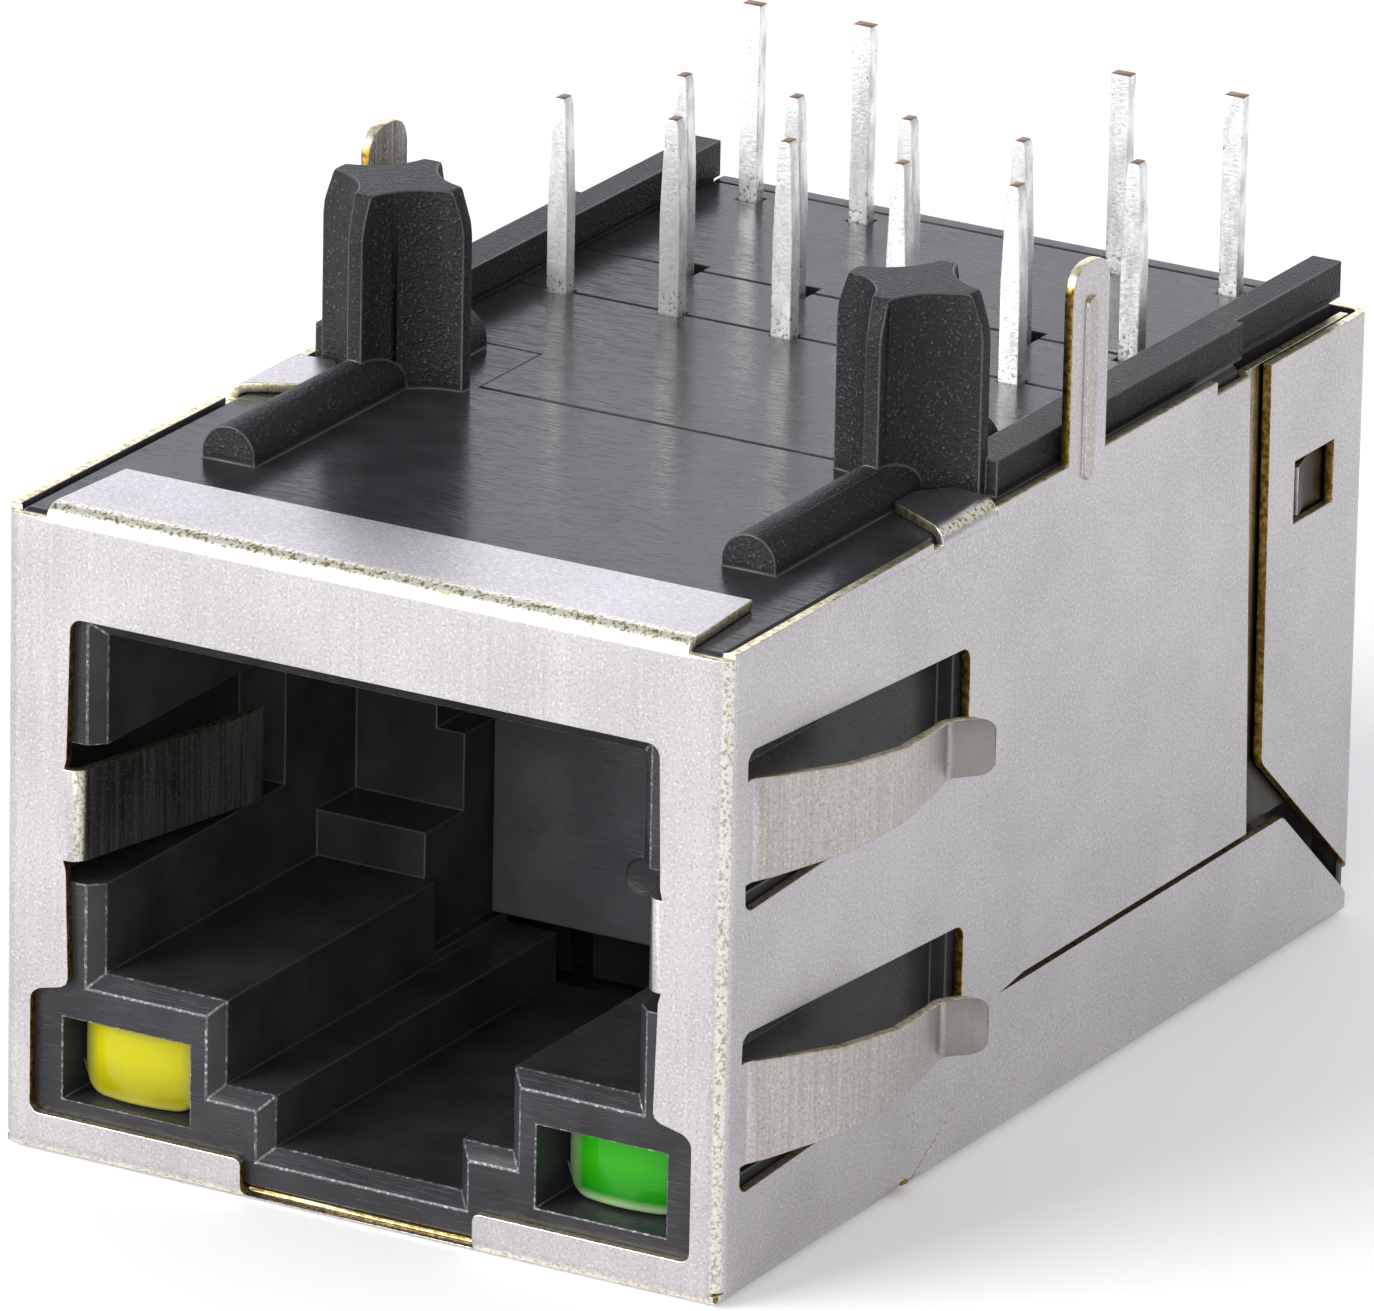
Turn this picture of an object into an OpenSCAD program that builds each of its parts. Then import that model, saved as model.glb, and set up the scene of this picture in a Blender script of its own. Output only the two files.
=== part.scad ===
// Shielded RJ45 board jack with two lamps and built-in transformers. It is drawn lying on
// its roof with its pins up: +Z points at the circuit board it is soldered to, the plug
// enters along +Y, and Z = 0 is the outer face of the roof. Sizes are in millimetres.

/* [Shield] */
// Width over the flat side walls
shield_width = 15.85; // [15.75:0.05:17]
// Depth from the front panel to the rear panel
shield_depth = 25.4; // [25.3:0.1:28]
// Thickness of the sheet
sheet = 0.2; // [0.15:0.01:0.25]
// Outside radius of the sheet's bends
bend_radius = 0.35; // [0.3:0.05:0.5]
// Width of the flap that folds back over the housing
flap_width = 14; // [12:0.5:14.8]
// How far the flap reaches back from the front panel
flap_depth = 2.65; // [1.5:0.05:3.5]
// How much lower the walls are towards the rear
rear_drop = 0.28; // [0:0.02:0.5]
// Distance from the rear panel to the place where the walls step down
rear_drop_setback = 6.4; // [5.4:0.1:8]
// Height of the slit that parts the lower strip of each side wall
slit_z = 2.97; // [2.8:0.01:3]
// How far forward the rear panel's wings reach over the side walls
wing_reach = 4.2; // [3.8:0.1:5]
// Middle of the solder tab on each side wall
ground_tab_y = 13.7; // [12.8:0.1:16]
// Width of the solder tab on each side wall
ground_tab_width = 1.45; // [1.2:0.05:1.8]
// How far the solder tabs stand above the housing
ground_tab_reach = 4; // [3:0.1:4.5]

/* [Front opening] */
// Width of the opening beside the plug
opening_width = 12.88; // [12.7:0.01:13]
// Top of the opening
opening_top = 11; // [10.8:0.05:11.4]
// Bottom of the opening
opening_bottom = 0.85; // [0.7:0.05:1]
// Width of the opening across the lamps
lamp_opening_width = 14.56; // [14:0.02:14.8]
// Height up to which the opening has the lamps' width
lamp_opening_top = 3.35; // [3:0.05:3.6]
// Width of the notch for the plug's latch
latch_opening_width = 5.12; // [4.8:0.02:5.6]

/* [Side springs] */
// Height of the upper spring's middle
spring_z = 9.32; // [9.1:0.01:9.4]
// Distance from the upper to the lower spring
spring_pitch = 5.63; // [5.5:0.01:5.8]
// Depth at which the springs leave the wall
spring_root_y = 1; // [0.9:0.05:1.4]
// Length of a spring from its root to its heel
spring_length = 5.8; // [5:0.1:6.2]
// How far a spring bows out of the wall
spring_bow = 1.12; // [0.7:0.02:1.4]
// Height of a spring at its root
spring_root_height = 2.06; // [1.8:0.02:2.2]
// Height of a spring at its tip
spring_tip_height = 1.15; // [0.9:0.05:1.4]
// Length of the lip at the tip of a spring
spring_lip = 1; // [0.5:0.05:1.1]

/* [Plug cavity] */
// Width of the cavity
cavity_width = 11.75; // [11.7:0.01:11.9]
// Top of the cavity
cavity_top = 10.65; // [10.5:0.05:10.8]
// Height of the ledges that the plug slides on
ledge_z = 3.8; // [3.7:0.05:4]
// Width between the ledges
ledge_gap = 6.33; // [6.2:0.01:6.5]
// Height of the floor between the ledges
step_z = 2.1; // [2:0.05:2.3]
// Width of the channel for the latch
latch_width = 4.1; // [4:0.05:4.4]
// Height of the latch channel's floor
latch_z = 1.06; // [0.9:0.02:1.2]
// Size of the slope round the mouth
lead_in = 0.3; // [0.2:0.05:0.4]
// Depth at which the plug's nose stops
stop_y = 9.65; // [9.4:0.05:9.9]
// Depth of the low toe in front of each stop
toe_y = 8.2; // [7.8:0.1:8.8]
// Height of the toe
toe_z = 4.75; // [4.5:0.05:5.2]
// Height of the middle of the plug's ground spring
plug_spring_z = 7.02; // [6.9:0.01:7.1]
// Height of the plug's ground spring
plug_spring_height = 1.85; // [1.5:0.05:2]
// How far the plug's ground springs stand into the cavity
plug_spring_reach = 0.56; // [0.4:0.02:0.8]

/* [Housing] */
// Height of the face that meets the circuit board's side
body_height = 12.95; // [12.9:0.05:13.6]
// How far the standoffs and rails stand above that face
standoff_height = 0.75; // [0.4:0.05:1]
// Depth of the front block
front_block_y = 11; // [10.9:0.02:11.2]
// Width of a standoff
standoff_width = 1.17; // [0.9:0.03:1.4]
// Depth at which the standoffs start
standoff_y = 4.5; // [3.6:0.1:6]
// Width of the arms that reach back beside the inner parts
arm_width = 1; // [0.8:0.05:1.1]

/* [Board pegs] */
// Distance between the two pegs
peg_spacing = 11.43; // [11.3:0.01:11.5]
// Depth of the pegs' axes
peg_y = 10.7; // [10.6:0.01:10.8]
// Diameter over the ribs of a peg
peg_diameter = 3.2; // [2.8:0.05:3.3]
// Width of a rib at its outer end
peg_rib = 0.33; // [0.2:0.01:0.5]
// How far the pegs stand above the housing
peg_height = 4.05; // [3:0.05:4.2]

/* [Contacts] */
// Distance from one contact to the next
contact_pitch = 1.02; // [1:0.01:1.03]
// Width of a contact
contact_width = 0.35; // [0.25:0.01:0.38]
// Thickness of a contact
contact_thickness = 0.25; // [0.2:0.01:0.3]
// Depth of the front bend of a contact
contact_turn_y = 2.75; // [2.5:0.05:3.2]
// Height of a contact's free tip
contact_tip_z = 7.3; // [7.2:0.05:7.6]

/* [Solder pins] */
// Distance from one pin to the next in a row
pin_pitch = 2.54; // [2.5:0.01:2.56]
// Depth of the front row
pin_row_y = 17; // [16.9:0.01:17.1]
// Distance from the front row to the rear row
row_pitch = 2.54; // [2.5:0.01:2.6]
// How far each row is shifted off the middle, to opposite sides
row_shift = 0.635; // [0.6:0.005:0.65]
// Width of a pin
pin_width = 0.46; // [0.4:0.01:0.55]
// Thickness of a pin
pin_thickness = 0.33; // [0.25:0.01:0.4]
// How far the pins stand above the housing
pin_reach = 4.02; // [3:0.05:4.2]

/* [Lamps] */
// Distance between the two lamps
lamp_spacing = 10.49; // [10.45:0.01:10.55]
// Width of a lamp
lamp_width = 2.6; // [2.4:0.02:2.65]
// Height of a lamp
lamp_height = 1.6; // [1.4:0.02:1.62]
// How far the yellow lamp sits behind the housing's face
yellow_lamp_setback = 0.35; // [0.2:0.05:1.2]
// How far the green lamp sits behind the housing's face
green_lamp_setback = 0.75; // [0.2:0.05:1.2]
// Length of a lamp
lamp_length = 4.2; // [3:0.1:5]
// Distance from the middle to a lamp's outer lead where it meets the board
outer_lead_x = 5.46; // [5.4:0.01:5.5]
// Distance from the middle to a lamp's inner lead where it meets the board
inner_lead_x = 2.92; // [2.88:0.01:2.96]
// Distance from the rear panel to the row of lamp leads
lead_setback = 1.29; // [1.2:0.01:1.4]
// Width of a lamp's lead
lead_width = 0.43; // [0.35:0.01:0.5]
// Thickness of a lamp's lead
lead_thickness = 0.3; // [0.25:0.01:0.35]

/* [Hidden] */
pin_count = 10;
pins_per_row = 5;
contact_count = 8;
lead_count = 4;
transformer_count = 4;

// Clearance between parts that are pushed together, and the joint that shows between mouldings.
fit = 0.04;
tight_fit = 0.02;
joint = 0.07;
// Angle of one step of a small rounded corner.
corner_step = 18;
tiny = 0.01;

half_width = shield_width / 2;
flap_under = body_height + 0.02;
wall_height = body_height + 0.05;
seat_z = body_height + standoff_height;

// The housing sits inside the shield with a clearance all round.
housing_half = half_width - sheet - fit;
housing_floor = sheet + fit;
arm_inner = half_width - sheet - arm_width;
rail_outer = half_width - 0.35;
set_in_half = half_width - 2 * sheet - fit;
rear_arm_outer = set_in_half - 0.2;
inside_rear = shield_depth - sheet - fit;

// Places on the rear part of a side wall, which the wings cover.
slit_y = 10.9;
wing_front_y = shield_depth - wing_reach;
joggle_y = wing_front_y - 0.45;
joggle_lean = 0.55;
seam_gap = 0.43;
mitre_run = 3.05;
mitre_rise = 2.65;

// The inner parts sit between the arms, one behind the other.
shoulder_half = 4.05;
shoulder_y = 13.4;
inner_half = arm_inner - fit;
lead_y = shield_depth - lead_setback;
clamp_under = body_height - 2.45;
board_thickness = 0.8;
board_top = clamp_under - fit;
board_under = board_top - board_thickness;
board_rear_y = lead_y - 0.5;
tray_floor_z = 2.85;
tray_wall = 0.6;
rear_wall_y = inside_rear - 0.4;
tray_front_y = shoulder_y + fit;
tray_quarter = (lead_y - 0.4 - tray_front_y - tray_wall) / 4;
core_gap = 0.45;
rear_row_y = pin_row_y + row_pitch;

carrier_y = stop_y + 1.05;
nose_half = ledge_gap / 2 + 0.21;
nose_low_z = step_z + 0.25;
nose_high_z = 6.35;
comb_half = shoulder_half - fit;

contact_run_z = body_height - 1.15;
contact_turn_drop = 1;
contact_tip_y = carrier_y + 0.5;

lamp_x = lamp_spacing / 2;
lamp_window_width = 2.84;
lamp_window_height = 1.68;
lamp_floor_z = 1.16;
lamp_lead_z = lamp_floor_z + 0.84;

// ---- Outlines ----

function flat(p) = [p[0], p[1]];

function toward(a, b) = (b - a) / norm(b - a);

function left_of(v) = [-v[1], v[0]];

// How far the path turns at b on its way from a to c, positive to the left.
function turn_at(a, b, c) =
    let (u = toward(a, b), v = toward(b, c))
    atan2(u[0] * v[1] - u[1] * v[0], u * v);

// The points that round the corner b of an outline with an arc of radius r.
function round_corner(a, b, c, r) =
    let (
        turn = turn_at(a, b, c),
        side = sign(turn),
        u = toward(b, a),
        v = toward(b, c),
        centre = b + toward([0, 0], u + v) * r / cos(turn / 2),
        from = left_of(u) * side,
        start = atan2(from[1], from[0]),
        steps = ceil(abs(turn) / corner_step)
    )
    [for (i = [0 : steps]) centre + r * [cos(start + turn * i / steps), sin(start + turn * i / steps)]];

// An outline's points, each [x, y] or [x, y, radius], with its corners rounded.
function rounded(points) = [
    for (i = [0 : len(points) - 1])
        let (
            n = len(points),
            a = flat(points[(i + n - 1) % n]),
            b = flat(points[i]),
            c = flat(points[(i + 1) % n]),
            r = is_undef(points[i][2]) ? 0 : points[i][2]
        )
        each r > 0 && abs(turn_at(a, b, c)) > 1 ? round_corner(a, b, c, r) : [b]
];

// One edge of a strip that follows a path of [x, y, bend radius] at some distance to its left.
function strip_edge(path, distance) = [
    for (i = [0 : len(path) - 1])
        let (
            p = flat(path[i]),
            before = i > 0 ? toward(flat(path[i - 1]), p) : toward(p, flat(path[1])),
            after = i < len(path) - 1 ? toward(p, flat(path[i + 1])) : before,
            n = left_of(before),
            m = left_of(after),
            r = is_undef(path[i][2]) ? 0 : path[i][2],
            side = sign(before[0] * after[1] - before[1] * after[0]),
            edge = p + (n + m) / (1 + n * m) * distance
        )
        [edge[0], edge[1], r > 0 ? r - side * distance : 0]
];

function reversed(list) = [for (i = [len(list) - 1 : -1 : 0]) list[i]];

// The largest arc that fits the corner b between its two neighbours, less a little.
function wide_radius(a, b, c) =
    0.85 * min(norm(b - a), norm(c - b)) / tan(abs(turn_at(a, b, c)) / 2);

module rounded_polygon(points) {
    polygon(rounded(points));
}

// A bent strip of sheet, seen on edge.
module strip(path, thickness) {
    rounded_polygon(concat(
        strip_edge(path, -thickness / 2),
        reversed(strip_edge(path, thickness / 2))
    ));
}

module rectangle(low, high) {
    translate(low)
        square(high - low);
}

// ---- Directions ----

// An outline in Y and Z, extruded from x0 to x1.
module along_x(x0, x1) {
    translate([x0, 0, 0])
        rotate([90, 0, 90])
            linear_extrude(height = x1 - x0)
                children();
}

// An outline in X and Z, extruded from y0 to y1.
module along_y(y0, y1) {
    translate([0, y1, 0])
        rotate([90, 0, 0])
            linear_extrude(height = y1 - y0)
                children();
}

// An outline in X and Y, extruded from z0 to z1.
module along_z(z0, z1) {
    translate([0, 0, z0])
        linear_extrude(height = z1 - z0)
            children();
}

module block(low, high) {
    translate(low)
        cube(high - low);
}

// A block that is centred in X.
module middle_block(half, low, high) {
    block([-half, low[0], low[1]], [half, high[0], high[1]]);
}

module both_sides() {
    children();
    mirror([1, 0, 0])
        children();
}

// Depths are measured from the front panel; the origin is under the middle of the jack.
module placed() {
    translate([0, -shield_depth / 2, 0])
        children();
}

// ---- Shield ----

// The shield's block with bent edges, or the space inside it when it is inset by the sheet.
module shield_block(inset, top) {
    r = bend_radius - inset;
    side = half_width - inset;
    rear = shield_depth - inset;
    intersection() {
        along_y(inset, rear)
            rounded_polygon([[-side, inset, r], [side, inset, r], [side, top], [-side, top]]);
        along_z(inset, top)
            rounded_polygon([[-side, inset, r], [side, inset, r], [side, rear, r], [-side, rear, r]]);
        along_x(-side, side)
            rounded_polygon([[inset, inset, r], [rear, inset, r], [rear, top], [inset, top]]);
    }
}

// The front opening, in X and Z: the plug's mouth, the lamps beside it and the latch notch.
module front_opening() {
    mouth = opening_width / 2;
    wide = lamp_opening_width / 2;
    notch = latch_opening_width / 2;
    relief = 0.12;
    low = plug_spring_z - plug_spring_height / 2 - 0.2;
    high = plug_spring_z + plug_spring_height / 2 + 0.2;
    side = [
        [notch, sheet / 2, 0.1],
        [notch, opening_bottom, 0.15],
        [wide, opening_bottom, 0.2],
        [wide, lamp_opening_top, 0.3],
        [mouth, lamp_opening_top + 0.2, 0.2],
        [mouth, low, 0.08],
        [mouth + relief, low, 0.08],
        [mouth + relief, high, 0.08],
        [mouth, high, 0.08],
        [mouth, opening_top, 0.25]
    ];
    rounded_polygon(concat(side, reversed([for (p = side) [-p[0], p[1], p[2]]])));
}

// The window round one side spring, in Y and Z, less the stub of wall at its root.
module spring_window(z) {
    front = spring_root_y - 0.25;
    rear = spring_root_y + spring_length + spring_lip + 1.45;
    root = spring_root_height / 2;
    difference() {
        rounded_polygon([
            [front, z - root - 0.56, 0.25],
            [rear, z - root - 0.2, 0.3],
            [rear, z + root + 0.12, 0.3],
            [front, z + root + 0.58, 0.25]
        ]);
        rectangle([front - 1, z - root], [spring_root_y, z + root]);
    }
}

// A spring cut out of the side wall: it bows outwards and ends in a lip.
module side_spring(z) {
    x = half_width - sheet / 2;
    root = [x, spring_root_y];
    crown = root + [1.47 * spring_bow, 0.47 * spring_length];
    heel = root + [0.81 * spring_bow, spring_length];
    tip = heel + spring_lip * [sin(43), cos(43)];
    tip_y = tip[1] + sheet;
    intersection() {
        along_z(z - spring_root_height, z + spring_root_height)
            strip([
                root - [0, 0.5],
                concat(root, [0.3]),
                concat(crown, [wide_radius(root, crown, heel)]),
                concat(heel, [0.5]),
                tip
            ], sheet);
        along_x(half_width - 1, half_width + spring_bow + spring_lip + 1)
            rounded_polygon([
                [spring_root_y - 0.4, z - spring_root_height / 2],
                [spring_root_y, z - spring_root_height / 2],
                [heel[1], z - spring_tip_height / 2],
                [tip_y, z - spring_tip_height / 2, 0.3],
                [tip_y, z + spring_tip_height / 2, 0.3],
                [heel[1], z + spring_tip_height / 2],
                [spring_root_y, z + spring_root_height / 2],
                [spring_root_y - 0.4, z + spring_root_height / 2]
            ]);
    }
}

// A spring folded in from the edge of the front opening, which grounds the plug.
module plug_spring() {
    mouth = opening_width / 2;
    reach = cavity_width / 2 - plug_spring_reach;
    along_z(plug_spring_z - plug_spring_height / 2, plug_spring_z + plug_spring_height / 2)
        strip([
            [mouth + 0.3, sheet / 2],
            [mouth - 0.12, sheet / 2, 0.25],
            [reach, 4.55, 0.4],
            [reach, 5.1]
        ], sheet);
}

// The flap, which continues the front panel round a bend and back over the housing.
module flap() {
    top = flap_under + sheet / 2;
    difference() {
        along_x(-flap_width / 2, flap_width / 2)
            strip([[sheet / 2, wall_height - 0.6], [sheet / 2, top, bend_radius - sheet / 2], [flap_depth, top]], sheet);
        both_sides()
            along_z(flap_under - 1, flap_under + 1)
                polygon([
                    [flap_width / 2 + tiny, bend_radius],
                    [flap_width / 2 + tiny, flap_depth + 1],
                    [flap_width / 2 - 0.2, flap_depth + 1]
                ]);
    }
}

// The solder tab that rises from the side wall, with a rib pressed into it.
module ground_tab() {
    low = ground_tab_y - ground_tab_width / 2;
    high = ground_tab_y + ground_tab_width / 2;
    top = body_height + ground_tab_reach;
    along_x(half_width - sheet, half_width)
        rounded_polygon([[low, wall_height - 0.6], [high, wall_height - 0.6], [high, top, 0.55], [low, top, 0.55]]);
    along_x(half_width - tiny, half_width + 0.07)
        rounded_polygon([
            [ground_tab_y - 0.2, wall_height - 0.45, 0.19],
            [ground_tab_y + 0.2, wall_height - 0.45, 0.19],
            [ground_tab_y + 0.2, top - 0.7, 0.19],
            [ground_tab_y - 0.2, top - 0.7, 0.19]
        ]);
}

// The corner of the side wall that is folded in over the housing beside the peg.
module corner_fold() {
    z = flap_under + sheet / 2;
    intersection() {
        along_y(7.5, peg_y)
            strip([
                [half_width - sheet / 2, wall_height - 0.6],
                [half_width - sheet / 2, z, bend_radius - sheet / 2],
                [half_width - 2, z]
            ], sheet);
        along_z(0, z + 1)
            polygon([
                [half_width + 1, 7.7],
                [half_width - sheet, 8.15],
                [peg_spacing / 2 + standoff_width / 2 + fit, peg_y - 1.75],
                [peg_spacing / 2 + standoff_width / 2 + fit, peg_y - 1],
                [peg_spacing / 2 + 1.15, peg_y - 0.37],
                [half_width - 0.4, peg_y - 0.42],
                [half_width + 1, peg_y - 0.75]
            ]);
    }
}

// The gap in the wall's outer layer, in Y and Z: a slit, the joggle and the wing's mitre.
module wall_seam() {
    high = wall_height + 2;
    foot = slit_z + 0.12;
    slope = mitre_rise / mitre_run;
    gap = seam_gap / cos(atan(slope));
    elbow_y = wing_front_y + 0.15;
    corner_y = shield_depth - mitre_run;
    past_y = shield_depth + 0.3;
    rounded_polygon([
        [slit_y, slit_z],
        [corner_y, slit_z, 0.2],
        [past_y, slit_z - slope * (past_y - corner_y)],
        [past_y, slit_z - slope * (past_y - corner_y) + gap],
        [elbow_y, slit_z + slope * (corner_y - elbow_y) + gap, 0.25],
        [wing_front_y, high],
        [joggle_y - joggle_lean, high],
        [joggle_y, foot, 0.3],
        [slit_y + 0.8, foot]
    ]);
}

// The rear of the side wall, set in by one sheet so that the wing lies flush over it.
module set_in_wall() {
    low = slit_z + 0.12;
    high = wall_height - rear_drop;
    inner = set_in_half;
    ramp = 0.28;
    lean = joggle_lean * (high - low) / (wall_height + 2 - low);
    along_x(inner, inner + sheet)
        rounded_polygon([
            [joggle_y + ramp, low, 0.2],
            [shield_depth - 2 * sheet - 0.1, low],
            [shield_depth - 2 * sheet - 0.1, high],
            [joggle_y + ramp - lean, high]
        ]);
    intersection() {
        translate([0, joggle_y, low])
            rotate([atan(lean / (high - low)), 0, 0])
                along_z(-1, high)
                    strip([
                        [half_width - sheet / 2, -0.3],
                        [half_width - sheet / 2, 0],
                        [inner + sheet / 2, ramp],
                        [inner + sheet / 2, ramp + 0.3]
                    ], sheet);
        middle_block(half_width + 1, [joggle_y - 3, low], [joggle_y + 3, high]);
    }
    // The lug that catches in the wing's window.
    along_z(9.25, 10.25)
        polygon([
            [half_width - 2 * sheet, wing_front_y + 1.25],
            [half_width + 0.04, wing_front_y + 1.25],
            [half_width - sheet - fit, wing_front_y + 2.1],
            [half_width - 2 * sheet, wing_front_y + 2.1]
        ]);
}

module shield_shell() {
    difference() {
        shield_block(0, wall_height);
        shield_block(sheet, wall_height + 1);
        along_y(-1, bend_radius + tiny)
            front_opening();
        // Room for the flap's bend, and the lower edge beside it.
        middle_block(half_width + 1, [-1, wall_height - 0.1], [sheet + tiny, wall_height + 1]);
        middle_block(flap_width / 2, [-1, wall_height - 0.5], [sheet + tiny, wall_height + 1]);
        // The lower rear edge.
        middle_block(half_width + 1, [shield_depth - rear_drop_setback, wall_height - rear_drop], [shield_depth + 1, wall_height + 1]);
        both_sides() {
            // Room for the bend of the folded corner.
            block(
                [half_width - sheet - tiny, 7.7, flap_under + sheet - bend_radius],
                [half_width + 1, peg_y - 0.5, wall_height + 1]
            );
            along_x(half_width - sheet - tiny, half_width + 1) {
                spring_window(spring_z);
                spring_window(spring_z - spring_pitch);
                wall_seam();
                // The wing's window.
                rectangle([wing_front_y + 1.15, 9.1], [wing_front_y + 2.8, 10.4]);
            }
            // Relief hole in the lower bend.
            translate([half_width - 2 * sheet, 7.15, 0])
                rotate([0, 90, 0])
                    cylinder(r = 0.3, h = 1, $fn = 24);
        }
    }
}

module shield() {
    color("gainsboro")
        placed() {
            shield_shell();
            flap();
            both_sides() {
                side_spring(spring_z);
                side_spring(spring_z - spring_pitch);
                plug_spring();
                ground_tab();
                corner_fold();
                set_in_wall();
            }
        }
}

// ---- Housing ----

// A straight pocket into the front face with a slope round its mouth.
module sloped_pocket(half, low, high, depth) {
    face = sheet - tiny;
    intersection() {
        along_z(low - lead_in, high + lead_in)
            polygon([
                [-half - lead_in, face],
                [half + lead_in, face],
                [half, face + lead_in],
                [half, depth],
                [-half, depth],
                [-half, face + lead_in]
            ]);
        along_x(-half - lead_in, half + lead_in)
            polygon([
                [face, low - lead_in],
                [face + lead_in, low],
                [depth, low],
                [depth, high],
                [face + lead_in, high],
                [face, high + lead_in]
            ]);
    }
}

// The space for the plug and its latch, and behind it the way for the contact carrier.
module plug_cavity() {
    behind = front_block_y + 1;
    sloped_pocket(cavity_width / 2, toe_z, cavity_top, stop_y);
    sloped_pocket(cavity_width / 2, ledge_z, cavity_top, toe_y);
    sloped_pocket(ledge_gap / 2, step_z, toe_z, behind);
    sloped_pocket(latch_width / 2, latch_z, step_z + tiny, behind);
    middle_block(nose_half + fit, [toe_y, nose_low_z - fit], [behind, nose_high_z + fit]);
    middle_block(comb_half + fit, [stop_y - tiny, nose_high_z], [behind, contact_run_z + 0.4]);
}

// One slot in the cavity's ceiling for each contact.
module contact_slots() {
    slot = contact_width + 0.2;
    for (i = [1 : contact_count])
        translate([contact_x(i), 0, 0])
            middle_block(slot / 2, [contact_turn_y - 0.4, cavity_top - tiny], [stop_y, contact_run_z + 0.4]);
}

module lamp_tunnel() {
    block(
        [lamp_x - lamp_window_width / 2, 0, lamp_floor_z],
        [lamp_x + lamp_window_width / 2, shoulder_y + 1, lamp_floor_z + lamp_window_height]
    );
}

// A peg with four ribs and hollow flanks, sloped at its tip.
module peg() {
    r = peg_diameter / 2;
    slope = 0.75;
    translate([peg_spacing / 2, peg_y, body_height])
        difference() {
            rotate_extrude($fn = 96)
                rounded_polygon([
                    [0, -tiny],
                    [r, -tiny],
                    [r, peg_height - slope, 1.2],
                    [r - 0.26, peg_height, 0.1],
                    [0, peg_height]
                ]);
            for (angle = [45 : 90 : 315])
                rotate([0, 0, angle])
                    translate([r * sqrt(2), 0, -1])
                        cylinder(r = r - peg_rib / 2, h = peg_height + 2, $fn = 96);
        }
}

// A half-round bar that holds the jack off the circuit board.
module standoff() {
    r = standoff_width / 2;
    rear = peg_y + peg_diameter / 2 + 0.9;
    translate([peg_spacing / 2, 0, 0])
        intersection() {
            along_y(standoff_y, rear)
                union() {
                    rectangle([-r, body_height - tiny], [r, seat_z - r]);
                    translate([0, seat_z - r])
                        circle(r = r, $fn = 48);
                }
            middle_block(r, [standoff_y, body_height - tiny], [rear, seat_z]);
        }
}

// A bar along the side wall, rounded where the sheet bends round it.
module side_bar(inner, outer, front, rear) {
    r = bend_radius - sheet;
    along_y(front, rear)
        rounded_polygon([
            [inner, housing_floor],
            [outer, housing_floor, r],
            [outer, body_height, r],
            [inner, body_height]
        ]);
}

// The arm beside the inner parts, with the rail that meets the circuit board.
module arm() {
    step_y = joggle_y - 0.5;
    side_bar(arm_inner, housing_half, shoulder_y - 1, step_y);
    side_bar(arm_inner, rear_arm_outer, step_y - 1, inside_rear - 0.3);
    block([arm_inner, peg_y + 0.05, body_height - tiny], [rail_outer, step_y + 0.4, seat_z]);
    block([arm_inner, step_y, body_height - tiny], [rear_arm_outer + 0.1, inside_rear - 0.05, seat_z]);
}

module front_block() {
    r = bend_radius - sheet;
    intersection() {
        along_y(sheet, front_block_y)
            rounded_polygon([
                [-housing_half, housing_floor, r],
                [housing_half, housing_floor, r],
                [housing_half, body_height, r],
                [-housing_half, body_height, r]
            ]);
        along_z(0, body_height)
            rounded_polygon([
                [-housing_half, sheet, r],
                [housing_half, sheet, r],
                [housing_half, front_block_y],
                [-housing_half, front_block_y]
            ]);
        along_x(-housing_half, housing_half)
            rounded_polygon([
                [sheet, housing_floor, r],
                [front_block_y, housing_floor],
                [front_block_y, body_height],
                [sheet, body_height, r]
            ]);
    }
}

// Room in the housing's side for a shield spring that is pressed in.
module spring_pocket(z) {
    block(
        [housing_half - 0.35, spring_root_y - 0.1, z - spring_root_height / 2 - 0.3],
        [housing_half + 1, spring_root_y + spring_length + spring_lip + 1.2, z + spring_root_height / 2 + 0.2]
    );
}

// The gap in the cavity's side wall that a plug spring bends back into.
module plug_spring_gap() {
    block(
        [cavity_width / 2 - 1, 0, plug_spring_z - plug_spring_height / 2 - 0.47],
        [opening_width / 2 + 0.5, 7, plug_spring_z + plug_spring_height / 2 + 0.49]
    );
}

module housing() {
    color([0.19, 0.19, 0.2])
        placed()
            difference() {
                union() {
                    front_block();
                    both_sides() {
                        side_bar(shoulder_half, housing_half, front_block_y - 1, shoulder_y);
                        arm();
                        peg();
                        standoff();
                    }
                }
                plug_cavity();
                contact_slots();
                both_sides() {
                    lamp_tunnel();
                    plug_spring_gap();
                    spring_pocket(spring_z);
                    spring_pocket(spring_z - spring_pitch);
                }
            }
}

// ---- Contacts ----

function contact_x(i) = (i - (contact_count + 1) / 2) * contact_pitch;

// The tails of neighbouring contacts are staggered in two rows.
function contact_tail_y(i) = shoulder_y + (i % 2 == 0 ? 1.3 : 2.5);

// A contact spring: up from the inner board, forward, round and back down into the comb.
module contact(i) {
    tail = contact_tail_y(i);
    color("gold")
        placed()
            along_x(contact_x(i) - contact_width / 2, contact_x(i) + contact_width / 2)
                strip([
                    [tail, board_under - 0.6],
                    [tail, contact_run_z, 0.35],
                    [contact_turn_y, contact_run_z, 0.45],
                    [contact_turn_y, contact_run_z - contact_turn_drop, 0.4],
                    [contact_tip_y, contact_tip_z]
                ], contact_thickness);
}

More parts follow.
